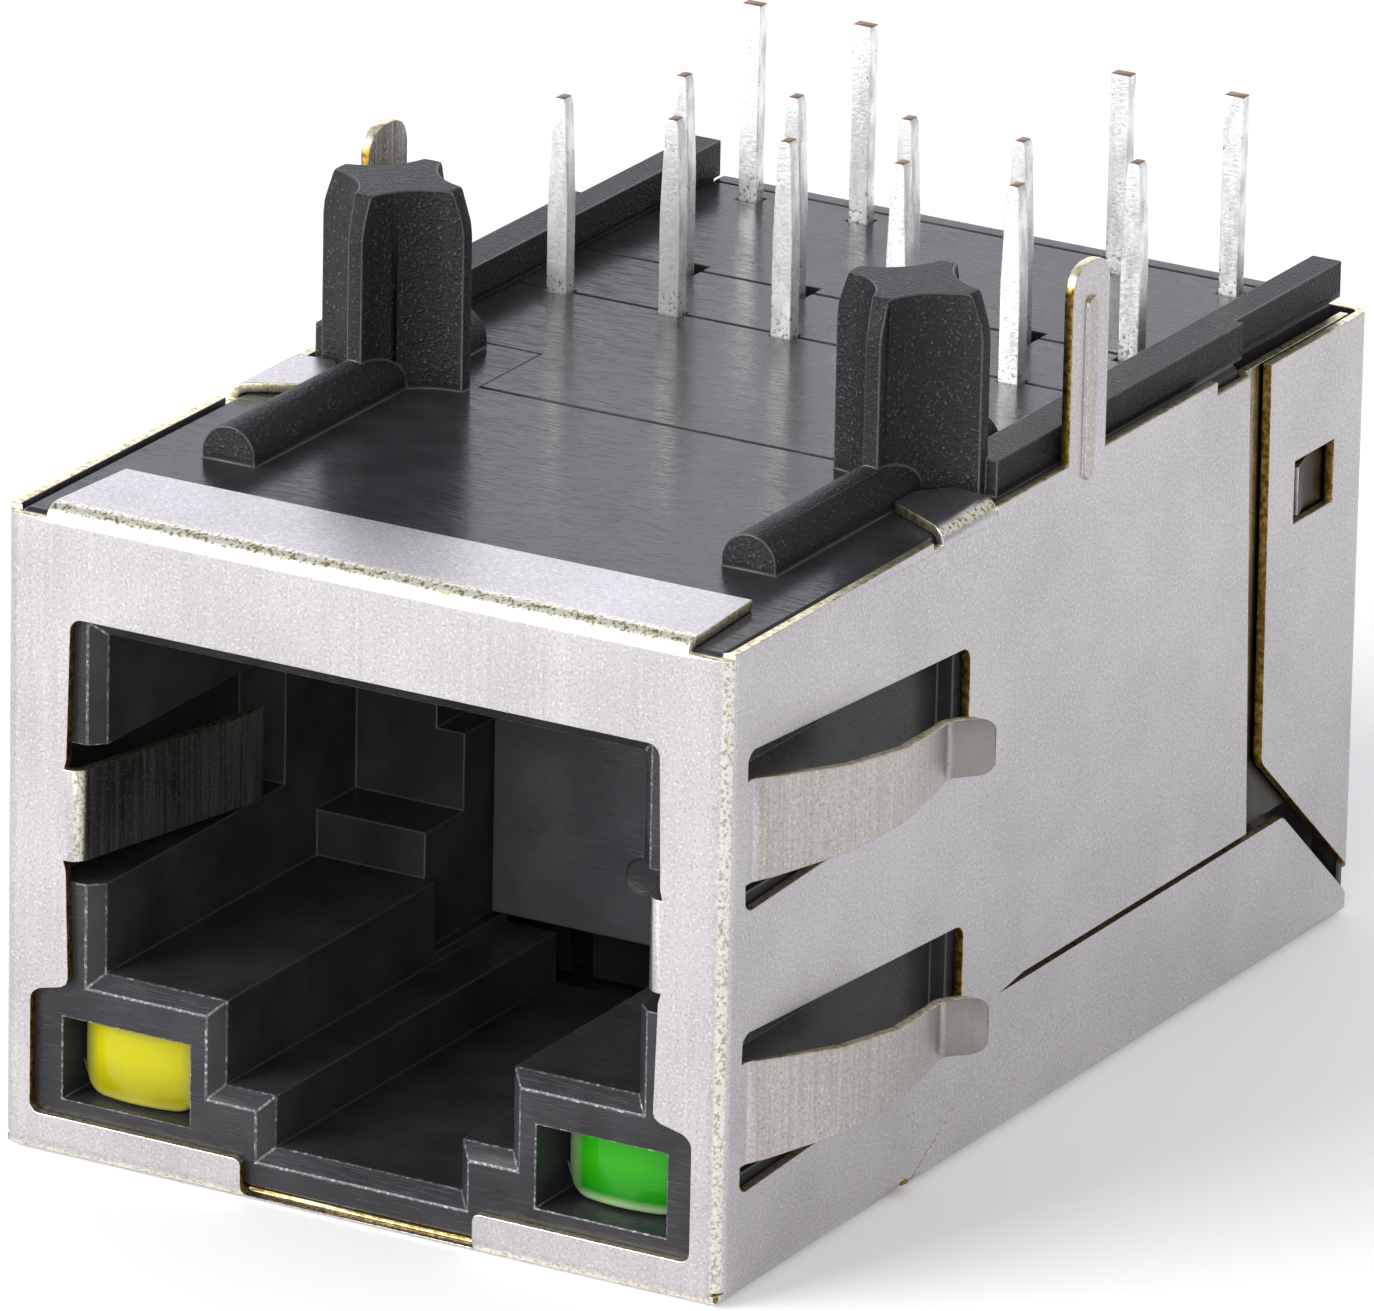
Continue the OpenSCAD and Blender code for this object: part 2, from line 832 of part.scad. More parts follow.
// The block behind the cavity: its nose faces the plug, and its comb guides the contacts.
module contact_carrier() {
    top = contact_run_z - contact_thickness / 2;
    color([0.17, 0.17, 0.18])
        placed()
            difference() {
                union() {
                    middle_block(nose_half, [carrier_y, nose_low_z], [shoulder_y, nose_high_z + tiny]);
                    middle_block(comb_half, [carrier_y, nose_high_z], [shoulder_y, top]);
                }
                for (i = [1 : contact_count])
                    translate([contact_x(i), 0, 0])
                        middle_block(
                            contact_width / 2 + 0.05,
                            [carrier_y - 1, contact_tip_z - 0.6],
                            [contact_tip_y + 0.5, contact_tip_z + 3]
                        );
                // The mark of the pin that pushed the block out of its mould.
                translate([0, carrier_y + 0.05, 3.75])
                    rotate([90, 0, 0])
                        cylinder(r = 0.35, h = 1, $fn = 48);
            }
}

// ---- Inner parts ----

// The tray that holds the transformers, with a rear wall that closes the housing.
module magnetics_tray() {
    groove = lead_width + 2 * fit;
    groove_top = lamp_lead_z + lead_thickness / 2 + fit;
    color([0.2, 0.2, 0.21])
        placed()
            difference() {
                along_x(-inner_half, inner_half)
                    rounded_polygon([
                        [tray_front_y, housing_floor],
                        [inside_rear, housing_floor, bend_radius - sheet],
                        [inside_rear, body_height],
                        [rear_wall_y, body_height],
                        [rear_wall_y, board_under],
                        [tray_front_y, board_under]
                    ]);
                middle_block(
                    inner_half - tray_wall,
                    [tray_front_y + tray_wall, tray_floor_z],
                    [rear_wall_y, board_under + tiny]
                );
                for (x = [-outer_lead_x, -inner_lead_x, inner_lead_x, outer_lead_x])
                    translate([x, 0, 0]) {
                        middle_block(groove / 2, [tray_front_y - 1, 0], [rear_wall_y, groove_top]);
                        middle_block(groove / 2, [lead_y - 1, 0], [rear_wall_y, tray_floor_z + tiny]);
                    }
            }
}

function pin_y(i) = i <= pins_per_row ? pin_row_y : rear_row_y;

function pin_x(i) =
    let (column = (i - 1) % pins_per_row - (pins_per_row - 1) / 2)
    column * pin_pitch + (i <= pins_per_row ? -row_shift : row_shift);

// The small circuit board that joins the contacts and the transformers to the pins.
module inner_board() {
    color("darkgreen")
        placed()
            difference() {
                middle_block(inner_half, [shoulder_y + 0.2, board_under], [board_rear_y, board_top]);
                for (i = [1 : pin_count])
                    translate([pin_x(i), pin_y(i), board_under - 1])
                        cylinder(d = pin_width + 0.34, h = 3, $fn = 32);
                for (i = [1 : contact_count])
                    translate([contact_x(i), contact_tail_y(i), board_under - 1])
                        cylinder(d = contact_width + 0.3, h = 3, $fn = 32);
            }
}

// A wound ring core.
module transformer(i) {
    side = i % 2 == 0 ? 1 : -1;
    y = tray_front_y + tray_wall + (i <= 2 ? 1 : 3) * tray_quarter;
    r = tray_quarter - core_gap;
    high = (board_under - tray_floor_z) * 0.42;
    color("saddlebrown")
        placed()
            translate([side * inner_half * 0.45, y, tray_floor_z])
                rotate_extrude($fn = 48)
                    rounded_polygon([
                        [r * 0.48, 0, r * 0.24],
                        [r, 0, r * 0.24],
                        [r, high, r * 0.24],
                        [r * 0.48, high, r * 0.24]
                    ]);
}

// A slot beside a pin, which the pin is pressed into on one side.
module pin_slot(i, room) {
    translate([pin_x(i), pin_y(i), 0])
        block(
            [-pin_width / 2 - fit / 2, -pin_thickness / 2 - room, 0],
            [pin_width / 2 + fit / 2 + room, pin_thickness / 2 + room, body_height + 1]
        );
}

// A strip of the housing's board face that clamps the rows of pins.
module pin_clamp(front, rear) {
    color([0.21, 0.21, 0.22])
        placed()
            difference() {
                middle_block(inner_half, [front, clamp_under], [rear, body_height]);
                for (i = [1 : pin_count])
                    pin_slot(i, i <= pins_per_row ? 0.02 : 0.2);
                // The contacts run through a pocket under the front strip.
                middle_block(
                    comb_half,
                    [front_block_y - 1, clamp_under - 1],
                    [contact_tail_y(1) + 0.4, contact_run_z + 0.35]
                );
                both_sides() {
                    block(
                        [shoulder_half - tight_fit, front_block_y - 1, clamp_under - 1],
                        [half_width, shoulder_y + tight_fit, body_height + 1]
                    );
                    for (x = [inner_lead_x, outer_lead_x])
                        translate([x, lead_y, 0])
                            middle_block(
                                lead_width / 2 + fit,
                                [-lead_thickness / 2 - fit, clamp_under - 1],
                                [lead_thickness / 2 + fit, body_height + 1]
                            );
                }
            }
}

module front_pin_clamp() {
    pin_clamp(front_block_y + joint, pin_row_y);
}

module middle_pin_clamp() {
    pin_clamp(pin_row_y + joint, rear_row_y);
}

module rear_pin_clamp() {
    pin_clamp(rear_row_y + joint, rear_wall_y - joint);
}

// A solder pin, tapered over the upper part and bevelled at its cut tip.
module signal_pin(i) {
    tip = body_height + pin_reach;
    wide = pin_width / 2;
    narrow = 0.63 * wide;
    color("silver")
        placed()
            translate([pin_x(i), pin_y(i), 0])
                along_y(-pin_thickness / 2, pin_thickness / 2)
                    polygon([
                        [-wide, board_under - 0.5],
                        [wide, board_under - 0.5],
                        [wide, body_height + 0.5 * pin_reach],
                        [narrow, tip - 0.12],
                        [narrow - 0.05, tip],
                        [-narrow + 0.05, tip],
                        [-narrow, tip - 0.12],
                        [-wide, body_height + 0.5 * pin_reach]
                    ]);
}

// ---- Lamps ----

// A lamp with rounded lower corners and a domed face.
module lamp(side, setback) {
    low = lamp_floor_z + 0.03;
    front = sheet + setback;
    back = front + lamp_length;
    half = lamp_width / 2;
    dome = 3.2;
    placed()
        translate([side * lamp_x, 0, 0])
            intersection() {
                along_y(front, back)
                    rounded_polygon([
                        [-half, low, 0.5],
                        [half, low, 0.5],
                        [half, low + lamp_height, 0.1],
                        [-half, low + lamp_height, 0.1]
                    ]);
                union() {
                    translate([0, front + dome, 0])
                        cylinder(r = dome, h = 5, $fn = 128);
                    middle_block(half + 1, [front + dome, 0], [back, 5]);
                }
            }
}

module yellow_lamp() {
    color("yellow")
        lamp(-1, yellow_lamp_setback);
}

module green_lamp() {
    color("limegreen")
        lamp(1, green_lamp_setback);
}

// A lamp's lead: back under the inner parts, then up at the rear and out to the board.
module lamp_lead(i) {
    side = i <= 2 ? -1 : 1;
    outer = i == 1 || i == 4;
    x = outer ? outer_lead_x : inner_lead_x;
    start_x = outer ? outer_lead_x : lamp_x - 0.75;
    start_y = sheet + (side < 0 ? yellow_lamp_setback : green_lamp_setback) + lamp_length;
    tip = body_height + pin_reach + 0.1;
    join_y = lead_y - 4;
    color("silver")
        placed()
            mirror([side < 0 ? 1 : 0, 0, 0]) {
                along_z(lamp_lead_z - lead_thickness / 2, lamp_lead_z + lead_thickness / 2)
                    strip([
                        [start_x, start_y],
                        [start_x, front_block_y + 0.3, 0.4],
                        [x, shoulder_y - 0.3, 0.4],
                        [x, join_y]
                    ], lead_width);
                along_x(x - lead_width / 2, x + lead_width / 2)
                    strip([
                        [join_y - 0.1, lamp_lead_z],
                        [lead_y, lamp_lead_z, 0.45],
                        [lead_y, tip]
                    ], lead_thickness);
            }
}

shield();
housing();
contact_carrier();
magnetics_tray();
inner_board();
front_pin_clamp();
middle_pin_clamp();
rear_pin_clamp();
yellow_lamp();
green_lamp();
for (i = [1 : contact_count]) contact(i);
for (i = [1 : pin_count]) signal_pin(i);
for (i = [1 : lead_count]) lamp_lead(i);
for (i = [1 : transformer_count]) transformer(i);
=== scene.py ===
import math

import bmesh
import bpy
from mathutils import Matrix, Vector
from mathutils.bvhtree import BVHTree


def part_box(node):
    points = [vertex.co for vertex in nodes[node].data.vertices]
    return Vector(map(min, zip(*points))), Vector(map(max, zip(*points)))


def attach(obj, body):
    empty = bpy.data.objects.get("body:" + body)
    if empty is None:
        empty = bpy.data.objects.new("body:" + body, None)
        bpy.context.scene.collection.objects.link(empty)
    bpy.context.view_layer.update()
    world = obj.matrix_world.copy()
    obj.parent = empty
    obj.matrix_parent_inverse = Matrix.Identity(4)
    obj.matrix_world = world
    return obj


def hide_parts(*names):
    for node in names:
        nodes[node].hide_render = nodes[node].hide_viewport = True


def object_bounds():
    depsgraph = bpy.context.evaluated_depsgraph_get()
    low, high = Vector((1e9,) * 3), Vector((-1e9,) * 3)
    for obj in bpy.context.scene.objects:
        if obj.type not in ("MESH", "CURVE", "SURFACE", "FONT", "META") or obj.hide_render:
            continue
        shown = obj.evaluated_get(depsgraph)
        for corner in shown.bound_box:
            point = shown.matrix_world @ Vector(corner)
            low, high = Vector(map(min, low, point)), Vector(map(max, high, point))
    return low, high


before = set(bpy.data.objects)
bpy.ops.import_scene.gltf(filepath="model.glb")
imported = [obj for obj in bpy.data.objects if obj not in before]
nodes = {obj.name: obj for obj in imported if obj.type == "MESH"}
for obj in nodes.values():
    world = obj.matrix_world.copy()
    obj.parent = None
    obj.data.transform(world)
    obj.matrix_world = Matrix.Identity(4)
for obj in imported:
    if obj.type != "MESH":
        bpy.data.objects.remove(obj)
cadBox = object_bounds()
mm = 0.001                    # the frame is in metres, and the real sizes below are in millimetres
print("frame loaded,", len(nodes), "nodes")


# an sRGB hex colour as the linear colour that shaders and lamps work in
def linear(colour):
    parts = [int(colour[i:i + 2], 16) / 255 for i in (1, 3, 5)]
    return tuple(c / 12.92 if c <= 0.04045 else ((c + 0.055) / 1.055) ** 2.4 for c in parts) + (1.0,)


# adds one shader node; an input is a number, a colour, or the node or socket that feeds it
def addNode(tree, kind, inputs=None, ramp=(), **settings):
    node = tree.nodes.new("ShaderNode" + kind)
    for name, value in settings.items():
        setattr(node, name, value)
    for name, value in (inputs or {}).items():
        if isinstance(value, bpy.types.Node):
            value = next(s for s in value.outputs if s.enabled)
        if isinstance(value, bpy.types.NodeSocket):
            tree.links.new(value, node.inputs[name])
        else:
            node.inputs[name].default_value = linear(value) if isinstance(value, str) else value
    for index, (place, colour) in enumerate(ramp):
        stops = node.color_ramp.elements
        stop = stops[index] if index < 2 else stops.new(place)
        stop.position = place
        stop.color = linear(colour)
    return node


# an empty material, and the place on the part in millimetres that its patterns are drawn by
def newMaterial(name):
    material = bpy.data.materials.new(name)
    material.use_nodes = True
    tree = material.node_tree
    tree.nodes.clear()
    coords = addNode(tree, "TexCoord")
    place = addNode(tree, "VectorMath", {0: coords.outputs["Object"], "Scale": 1 / mm}, operation="SCALE")
    return material, tree, place


view = {
    "azimuth": 29.612,        # degrees, as are the next two
    "elevation": 19.648,
    "roll": 1.1505,
    "place": (0.14679481, -0.25868566, 0.1139015),
    "lens": 425.99,           # mm, and so is the sensor's width
    "sensor": 36,
    "sees": (0.01, 10),       # metres, nearest and farthest
}


def makeCamera():
    data = bpy.data.cameras.new("camera")
    camera = bpy.data.objects.new("camera", data)
    bpy.context.collection.objects.link(camera)
    azimuth, elevation, roll = (math.radians(view[k]) for k in ("azimuth", "elevation", "roll"))
    level = math.cos(elevation)
    forward = Vector((-math.sin(azimuth) * level, math.cos(azimuth) * level, -math.sin(elevation)))
    right = Vector((math.cos(azimuth), math.sin(azimuth), 0))
    up = right.cross(forward)
    turned = math.cos(roll) * right + math.sin(roll) * up
    upright = math.cos(roll) * up - math.sin(roll) * right
    axes = Matrix((turned, upright, -forward)).transposed()
    camera.matrix_world = Matrix.Translation(view["place"]) @ axes.to_4x4()
    data.lens = view["lens"]
    data.sensor_width = view["sensor"]
    data.clip_start, data.clip_end = view["sees"]
    bpy.context.scene.camera = camera


studio = {
    "floorSize": 4.0,
    "floorGap": 0.01,         # mm, between the floor and the lowest point of the jack
    "floorColour": "#F6F6F6",
    "floorRoughness": 0.9,
    "fibreSize": 0.25,        # mm, fibres of the card
    "fibreDepth": 0.002,
    "floorGlow": 0.16,        # lifts the floor to paper white where it is seen; shadows stay
    "worldColour": "#FAFBFF",
    "worldStrength": 0.58,
    # name: place, width and height in metres, power in watts, colour; all look at the jack
    "lamps": {
        "key": ((-0.60, -0.86, 0.52), 0.75, 0.75, 12.5, "#FFFFFF"),
        "back card": ((-0.44, 0.78, 0.30), 0.90, 0.55, 1.75, "#F4F4FF"),
        "fill": ((0.42, -0.88, 0.30), 0.40, 0.40, 3.2, "#FFFDF8"),
        "low card": ((-0.44, -0.80, 0.10), 0.40, 0.12, 1.9, "#FFFFFF"),
    },
    "target": (0.0, 0.0, 0.007),
}


def makeStudio():
    ground = cadBox[0].z - studio["floorGap"] * mm
    bpy.ops.mesh.primitive_plane_add(size=studio["floorSize"], location=(0, 0, ground))
    floor = bpy.context.object
    floor.name = "floor"
    material, tree, place = newMaterial("matte white card")
    fibre = addNode(tree, "TexNoise", {"Vector": place, "Scale": 1 / studio["fibreSize"], "Detail": 2.0})
    relief = addNode(tree, "Bump", {"Height": fibre, "Distance": studio["fibreDepth"] * mm})
    ray = addNode(tree, "LightPath")
    seen = addNode(tree, "Math", {
        0: ray.outputs["Is Camera Ray"], 1: ray.outputs["Is Glossy Ray"]}, operation="MAXIMUM")
    seen = addNode(tree, "Math", {0: seen, 1: ray.outputs["Is Transmission Ray"]}, operation="MAXIMUM")
    glow = addNode(tree, "Math", {0: seen, 1: studio["floorGlow"]}, operation="MULTIPLY")
    shader = addNode(tree, "BsdfPrincipled", {
        "Base Color": studio["floorColour"], "Roughness": studio["floorRoughness"], "Normal": relief,
        "Emission Color": studio["floorColour"], "Emission Strength": glow})
    addNode(tree, "OutputMaterial", {"Surface": shader})
    floor.data.materials.append(material)
    world = bpy.data.worlds.new("studio")
    bpy.context.scene.world = world
    world.use_nodes = True
    background = world.node_tree.nodes["Background"]
    background.inputs["Color"].default_value = linear(studio["worldColour"])
    background.inputs["Strength"].default_value = studio["worldStrength"]
    for name, (place, width, height, power, colour) in studio["lamps"].items():
        data = bpy.data.lights.new(name, "AREA")
        data.shape = "RECTANGLE"
        data.size = width
        data.size_y = height
        data.energy = power
        data.color = linear(colour)[:3]
        lamp = bpy.data.objects.new(name, data)
        bpy.context.collection.objects.link(lamp)
        lamp.location = place
        lamp.rotation_mode = "QUATERNION"
        lamp.rotation_quaternion = (Vector(studio["target"]) - Vector(place)).to_track_quat("-Z", "Y")
        lamp.visible_camera = False


makeCamera()
makeStudio()
bpy.context.scene.view_settings.view_transform = "Standard"
print("camera and studio ready")


nickelPlate = {
    "light": "#C6C2C4",
    "shade": "#BBB7B9",
    "cloudSize": 2.5,         # mm, slow changes of tone over the sheet
    "streak": 0.25,           # how much the grain shows in the colour
    "roughness": 0.33,
    "roughSpread": (-0.025, 0.035),
    "grainWidth": 0.07,       # mm, rolling marks; real ones are finer and drawn as coarse as they show
    "grainLength": 3.0,
    "grainDepth": 0.0007,
    "pitSize": 0.055,         # mm, the orange peel of the plating, drawn about twice its size
    "pit": "#8F8C8A",
    "pitRange": (0.56, 0.72),       # where in the noise the pits lie
    "pitShare": 0.5,                # how far they cover the tone, and so for every share below
    "glint": "#EEECEA",
    "glintRange": (0.42, 0.28),
    "glintShare": 0.5,
    "crackSize": 0.085,             # mm, flakes of plating where the sheet was bent
    "crackDepth": 0.006,
    "crack": "#8F8458",
    "flake": "#F0EAC8",
    "burnish": "#FFFDF2",
    "crackStops": (0.42, 0.47, 0.53),
    "crackShare": (0.45, 0.9),      # least and most, by how far the bend faces up
    "crackUp": (0.1, 0.4),
    "bend": (0.945, 0.84),          # how squarely a spot faces an axis where the bend starts and is full
    "faceUp": (0.3, 0.6),
    "faceNear": (-0.4, -0.2),       # the far side is bent without cracks
    "frontBend": (-11.9, -12.3),    # mm, the cracks are confined to the bends round the front panel
    "flapBend": (-12.2, -12.42),    # mm, where the cracks fade out on the flap behind its bend
    "underWing": (8.3, 8.5),        # mm, the layer below the wings, darkened to bronze as painted shade in its recess
    "recessShade": "#241F14",
    "recessShadeShare": 0.0,                  # how far the painted shade shows
    "rib": (1.0, 12.35, 16.4),      # mm, middle in Y, foot and top of the rib pressed into the tab
    "ribFade": (0.24, 0.14, 0.3, 0.15),     # mm, across, from and to, and along, at its foot and top
    # painted shade down the middle of the pressed groove, broken into patches
    "ribShadeBreakup": (0.35, 0.6),
    "ribPaintedShade": "#9B967E",
    "ribShadeShare": 0.6,
    "proud": (7.94, 8.02),          # mm, the side springs stand out of the wall and are warmer
    "springTone": "#F2EEE6",
    "springGrain": 0.86,            # the darkest that the grain makes them
    "heel": (-5.98, -5.86),         # mm, where the springs end in their flared pads
    # painted shade on the flared pads, which tilt towards darker surroundings
    "padPaintedShade": "#807D79",
    "padShadeShare": 0.85,
}
# a darker copy of the plate: painted shade for the faces inside the fold and under the wings
shadedNickel = dict(
    nickelPlate, light="#C4C0B8", shade="#7A766E", streak=0.6, glint="#F4F0E8", recessShadeShare=0.9)


# nickel over rolled brass sheet: warm grey satin with a fine upright grain,
# which the press cracked along the bends, so that cream and olive brass sparkles through
def satinNickel(name, n):
    material, tree, place = newMaterial(name)
    thin, long = 1 / n["grainWidth"], 1 / n["grainLength"]
    along = addNode(tree, "VectorMath", {0: place, 1: (thin, thin, long)}, operation="MULTIPLY")
    grain = addNode(tree, "TexNoise", {"Vector": along, "Scale": 1.0, "Detail": 2.0})
    cloud = addNode(tree, "TexNoise", {"Vector": place, "Scale": 1 / n["cloudSize"], "Detail": 4.0})
    mottle = addNode(tree, "Mix", {0: n["streak"], 2: cloud, 3: grain}, data_type="FLOAT")
    tone = addNode(tree, "ValToRGB", {"Fac": mottle}, ((0.38, n["shade"]), (0.62, n["light"])))
    speck = addNode(tree, "TexNoise", {"Vector": place, "Scale": 1 / n["pitSize"], "Detail": 1.0})
    pitted = addNode(tree, "MapRange", {
        "Value": speck, "From Min": n["pitRange"][0], "From Max": n["pitRange"][1],
        "To Max": n["pitShare"]})
    tone = addNode(tree, "Mix", {0: pitted, 6: tone, 7: n["pit"]}, data_type="RGBA")
    glint = addNode(tree, "MapRange", {
        "Value": speck, "From Min": n["glintRange"][0], "From Max": n["glintRange"][1],
        "To Max": n["glintShare"]})
    tone = addNode(tree, "Mix", {0: glint, 6: tone, 7: n["glint"]}, data_type="RGBA")
    facing = addNode(tree, "NewGeometry")
    turned = addNode(tree, "SeparateXYZ", {0: facing.outputs["Normal"]})
    square = addNode(tree, "VectorMath", {0: facing.outputs["Normal"]}, operation="ABSOLUTE")
    axes = addNode(tree, "SeparateXYZ", {0: square})
    widest = addNode(tree, "Math", {0: axes.outputs[0], 1: axes.outputs[1]}, operation="MAXIMUM")
    widest = addNode(tree, "Math", {0: widest, 1: axes.outputs[2]}, operation="MAXIMUM")
    tilted = addNode(tree, "MapRange", {
        "Value": widest, "From Min": n["bend"][0], "From Max": n["bend"][1]})
    spot = addNode(tree, "SeparateXYZ", {0: place})
    atFront = addNode(tree, "MapRange", {
        "Value": spot.outputs[1], "From Min": n["frontBend"][0], "From Max": n["frontBend"][1]})
    atFlap = addNode(tree, "MapRange", {
        "Value": spot.outputs[1], "From Min": n["flapBend"][0], "From Max": n["flapBend"][1]})
    upward = addNode(tree, "MapRange", {
        "Value": turned.outputs[2], "From Min": n["faceUp"][0], "From Max": n["faceUp"][1]})
    behind = addNode(tree, "Math", {0: atFlap, 1: upward}, operation="MULTIPLY")
    bent = addNode(tree, "Math", {0: atFront, 1: upward}, operation="MAXIMUM")
    nearSide = addNode(tree, "MapRange", {
        "Value": turned.outputs[0], "From Min": n["faceNear"][0], "From Max": n["faceNear"][1]})
    bent = addNode(tree, "Math", {0: bent, 1: nearSide}, operation="MULTIPLY")
    bent = addNode(tree, "Math", {0: bent, 1: tilted}, operation="MULTIPLY")
    bend = addNode(tree, "Math", {0: bent, 1: behind}, operation="MAXIMUM")
    flakes = addNode(tree, "TexNoise", {
        "Vector": place, "Scale": 1 / n["crackSize"], "Detail": 3.0, "Roughness": 0.65})
    crackle = addNode(tree, "ValToRGB", {"Fac": flakes}, tuple(
        zip(n["crackStops"], (n["crack"], n["flake"], n["burnish"]))))
    strength = addNode(tree, "MapRange", {
        "Value": turned.outputs[2], "From Min": n["crackUp"][0], "From Max": n["crackUp"][1],
        "To Min": n["crackShare"][0], "To Max": n["crackShare"][1]})
    shown = addNode(tree, "Math", {0: bend, 1: strength}, operation="MULTIPLY")
    tone = addNode(tree, "Mix", {0: shown, 6: tone, 7: crackle}, data_type="RGBA")
    outward = addNode(tree, "Math", {0: spot.outputs[0]}, operation="ABSOLUTE")
    spring = addNode(tree, "MapRange", {
        "Value": outward, "From Min": n["proud"][0], "From Max": n["proud"][1]})
    fore = addNode(tree, "Math", {0: spot.outputs[1], 1: 0.0}, operation="LESS_THAN")
    spring = addNode(tree, "Math", {0: spring, 1: fore}, operation="MULTIPLY")
    drawn = addNode(tree, "MapRange", {
        "Value": grain, "From Min": 0.35, "From Max": 0.65, "To Min": n["springGrain"]})
    for shade in (n["springTone"], drawn):
        tone = addNode(
            tree, "Mix", {0: spring, 6: tone, 7: shade}, data_type="RGBA", blend_type="MULTIPLY")
    # painted shade on the springs' flared pads
    flared = addNode(tree, "MapRange", {
        "Value": spot.outputs[1], "From Min": n["heel"][0], "From Max": n["heel"][1],
        "To Max": n["padShadeShare"]})
    pad = addNode(tree, "Math", {0: spring, 1: flared}, operation="MULTIPLY")
    tone = addNode(tree, "Mix", {0: pad, 6: tone, 7: n["padPaintedShade"]}, data_type="RGBA")
    # painted shade down the groove of the rib pressed into the tab
    middle, foot, top = n["rib"]
    outer, inner, footFade, topFade = n["ribFade"]
    aside = addNode(tree, "Math", {0: spot.outputs[1], 1: middle}, operation="SUBTRACT")
    aside = addNode(tree, "Math", {0: aside}, operation="ABSOLUTE")
    ribShadeMask = addNode(tree, "MapRange", {
        "Value": aside, "From Min": outer, "From Max": inner, "To Max": n["ribShadeShare"]})
    above = addNode(tree, "MapRange", {
        "Value": spot.outputs[2], "From Min": foot, "From Max": foot + footFade})
    below = addNode(tree, "MapRange", {
        "Value": spot.outputs[2], "From Min": top, "From Max": top - topFade})
    worn = addNode(tree, "MapRange", {
        "Value": flakes, "From Min": n["ribShadeBreakup"][0], "From Max": n["ribShadeBreakup"][1]})
    for share in (above, below, worn):
        ribShadeMask = addNode(tree, "Math", {0: ribShadeMask, 1: share}, operation="MULTIPLY")
    tone = addNode(tree, "Mix", {0: ribShadeMask, 6: tone, 7: n["ribPaintedShade"]}, data_type="RGBA")
    # painted shade in the recess under the wings
    under = addNode(tree, "MapRange", {
        "Value": spot.outputs[1], "From Min": n["underWing"][0], "From Max": n["underWing"][1],
        "To Max": n["recessShadeShare"]})
    tone = addNode(tree, "Mix", {0: under, 6: tone, 7: n["recessShade"]}, data_type="RGBA")
    smoothest, roughest = (n["roughness"] + change for change in n["roughSpread"])
    rough = addNode(tree, "MapRange", {
        "Value": grain, "From Min": 0.3, "From Max": 0.7, "To Min": smoothest, "To Max": roughest})
    rolled = addNode(tree, "Bump", {"Height": grain, "Distance": n["grainDepth"] * mm})
    lifted = addNode(tree, "Math", {0: flakes, 1: bend}, operation="MULTIPLY")
    relief = addNode(tree, "Bump", {"Height": lifted, "Distance": n["crackDepth"] * mm, "Normal": rolled})
    shader = addNode(tree, "BsdfPrincipled", {
        "Base Color": tone, "Metallic": 1.0, "Roughness": rough, "Normal": relief})
    addNode(tree, "OutputMaterial", {"Surface": shader})
    return material


shearedEdge = {
    # painted highlight: the pale copy of the brass, for edges that face up
    "highlightBright": "#F2EBD2",
    "plain": "#D8CDA2",
    "torn": "#9C8B58",
    # painted shade: the golden brown copy of the brass, for the sides
    "sideBright": "#C9AA62",
    "side": "#9A7A3A",
    "sideTorn": "#5C4822",
    "highlightStops": (0.34, 0.44, 0.56),
    "shadeStops": (0.36, 0.5, 0.66),
    "faceUp": (0.3, 0.6),
    "paleAbove": 12.3,      # mm, height and depth beyond which the edges are painted pale as well
    "paleBefore": -2.3,
    "paleFade": 0.2,
    "tearSize": 0.14,         # mm, where the shear tore the brass
    "tearDepth": 0.006,
    "roughness": 0.36,
}


# brass laid bare by the shear and torn in patches: pale as painted highlight where it faces up, pale too
# on the edges high at the front, and golden brown as painted shade down the sides
def shearedBrass():
    s = shearedEdge
    material, tree, place = newMaterial("sheared brass edge")
    tear = addNode(tree, "TexNoise", {
        "Vector": place, "Scale": 1 / s["tearSize"], "Detail": 4.0, "Roughness": 0.65})
    paleHighlight = addNode(tree, "ValToRGB", {"Fac": tear}, tuple(
        zip(s["highlightStops"], (s["torn"], s["plain"], s["highlightBright"]))))
    plain = addNode(tree, "ValToRGB", {"Fac": tear}, tuple(
        zip(s["shadeStops"], (s["sideTorn"], s["side"], s["sideBright"]))))
    facing = addNode(tree, "NewGeometry")
    turned = addNode(tree, "SeparateXYZ", {0: facing.outputs["Normal"]})
    upward = addNode(tree, "MapRange", {
        "Value": turned.outputs[2], "From Min": s["faceUp"][0], "From Max": s["faceUp"][1]})
    spot = addNode(tree, "SeparateXYZ", {0: place})
    high = addNode(tree, "MapRange", {
        "Value": spot.outputs[2], "From Min": s["paleAbove"],
        "From Max": s["paleAbove"] + s["paleFade"]})
    fore = addNode(tree, "MapRange", {
        "Value": spot.outputs[1], "From Min": s["paleBefore"],
        "From Max": s["paleBefore"] - s["paleFade"]})
    paleRegion = addNode(tree, "Math", {0: high, 1: fore}, operation="MULTIPLY")
    # painted highlight where the edge faces up, and pale as well high at the front
    shown = addNode(tree, "Math", {0: upward, 1: paleRegion}, operation="MAXIMUM")
    tone = addNode(tree, "Mix", {0: shown, 6: plain, 7: paleHighlight}, data_type="RGBA")
    relief = addNode(tree, "Bump", {"Height": tear, "Distance": s["tearDepth"] * mm})
    shader = addNode(tree, "BsdfPrincipled", {
        "Base Color": tone, "Metallic": 1.0, "Roughness": s["roughness"], "Normal": relief})
    addNode(tree, "OutputMaterial", {"Surface": shader})
    return material


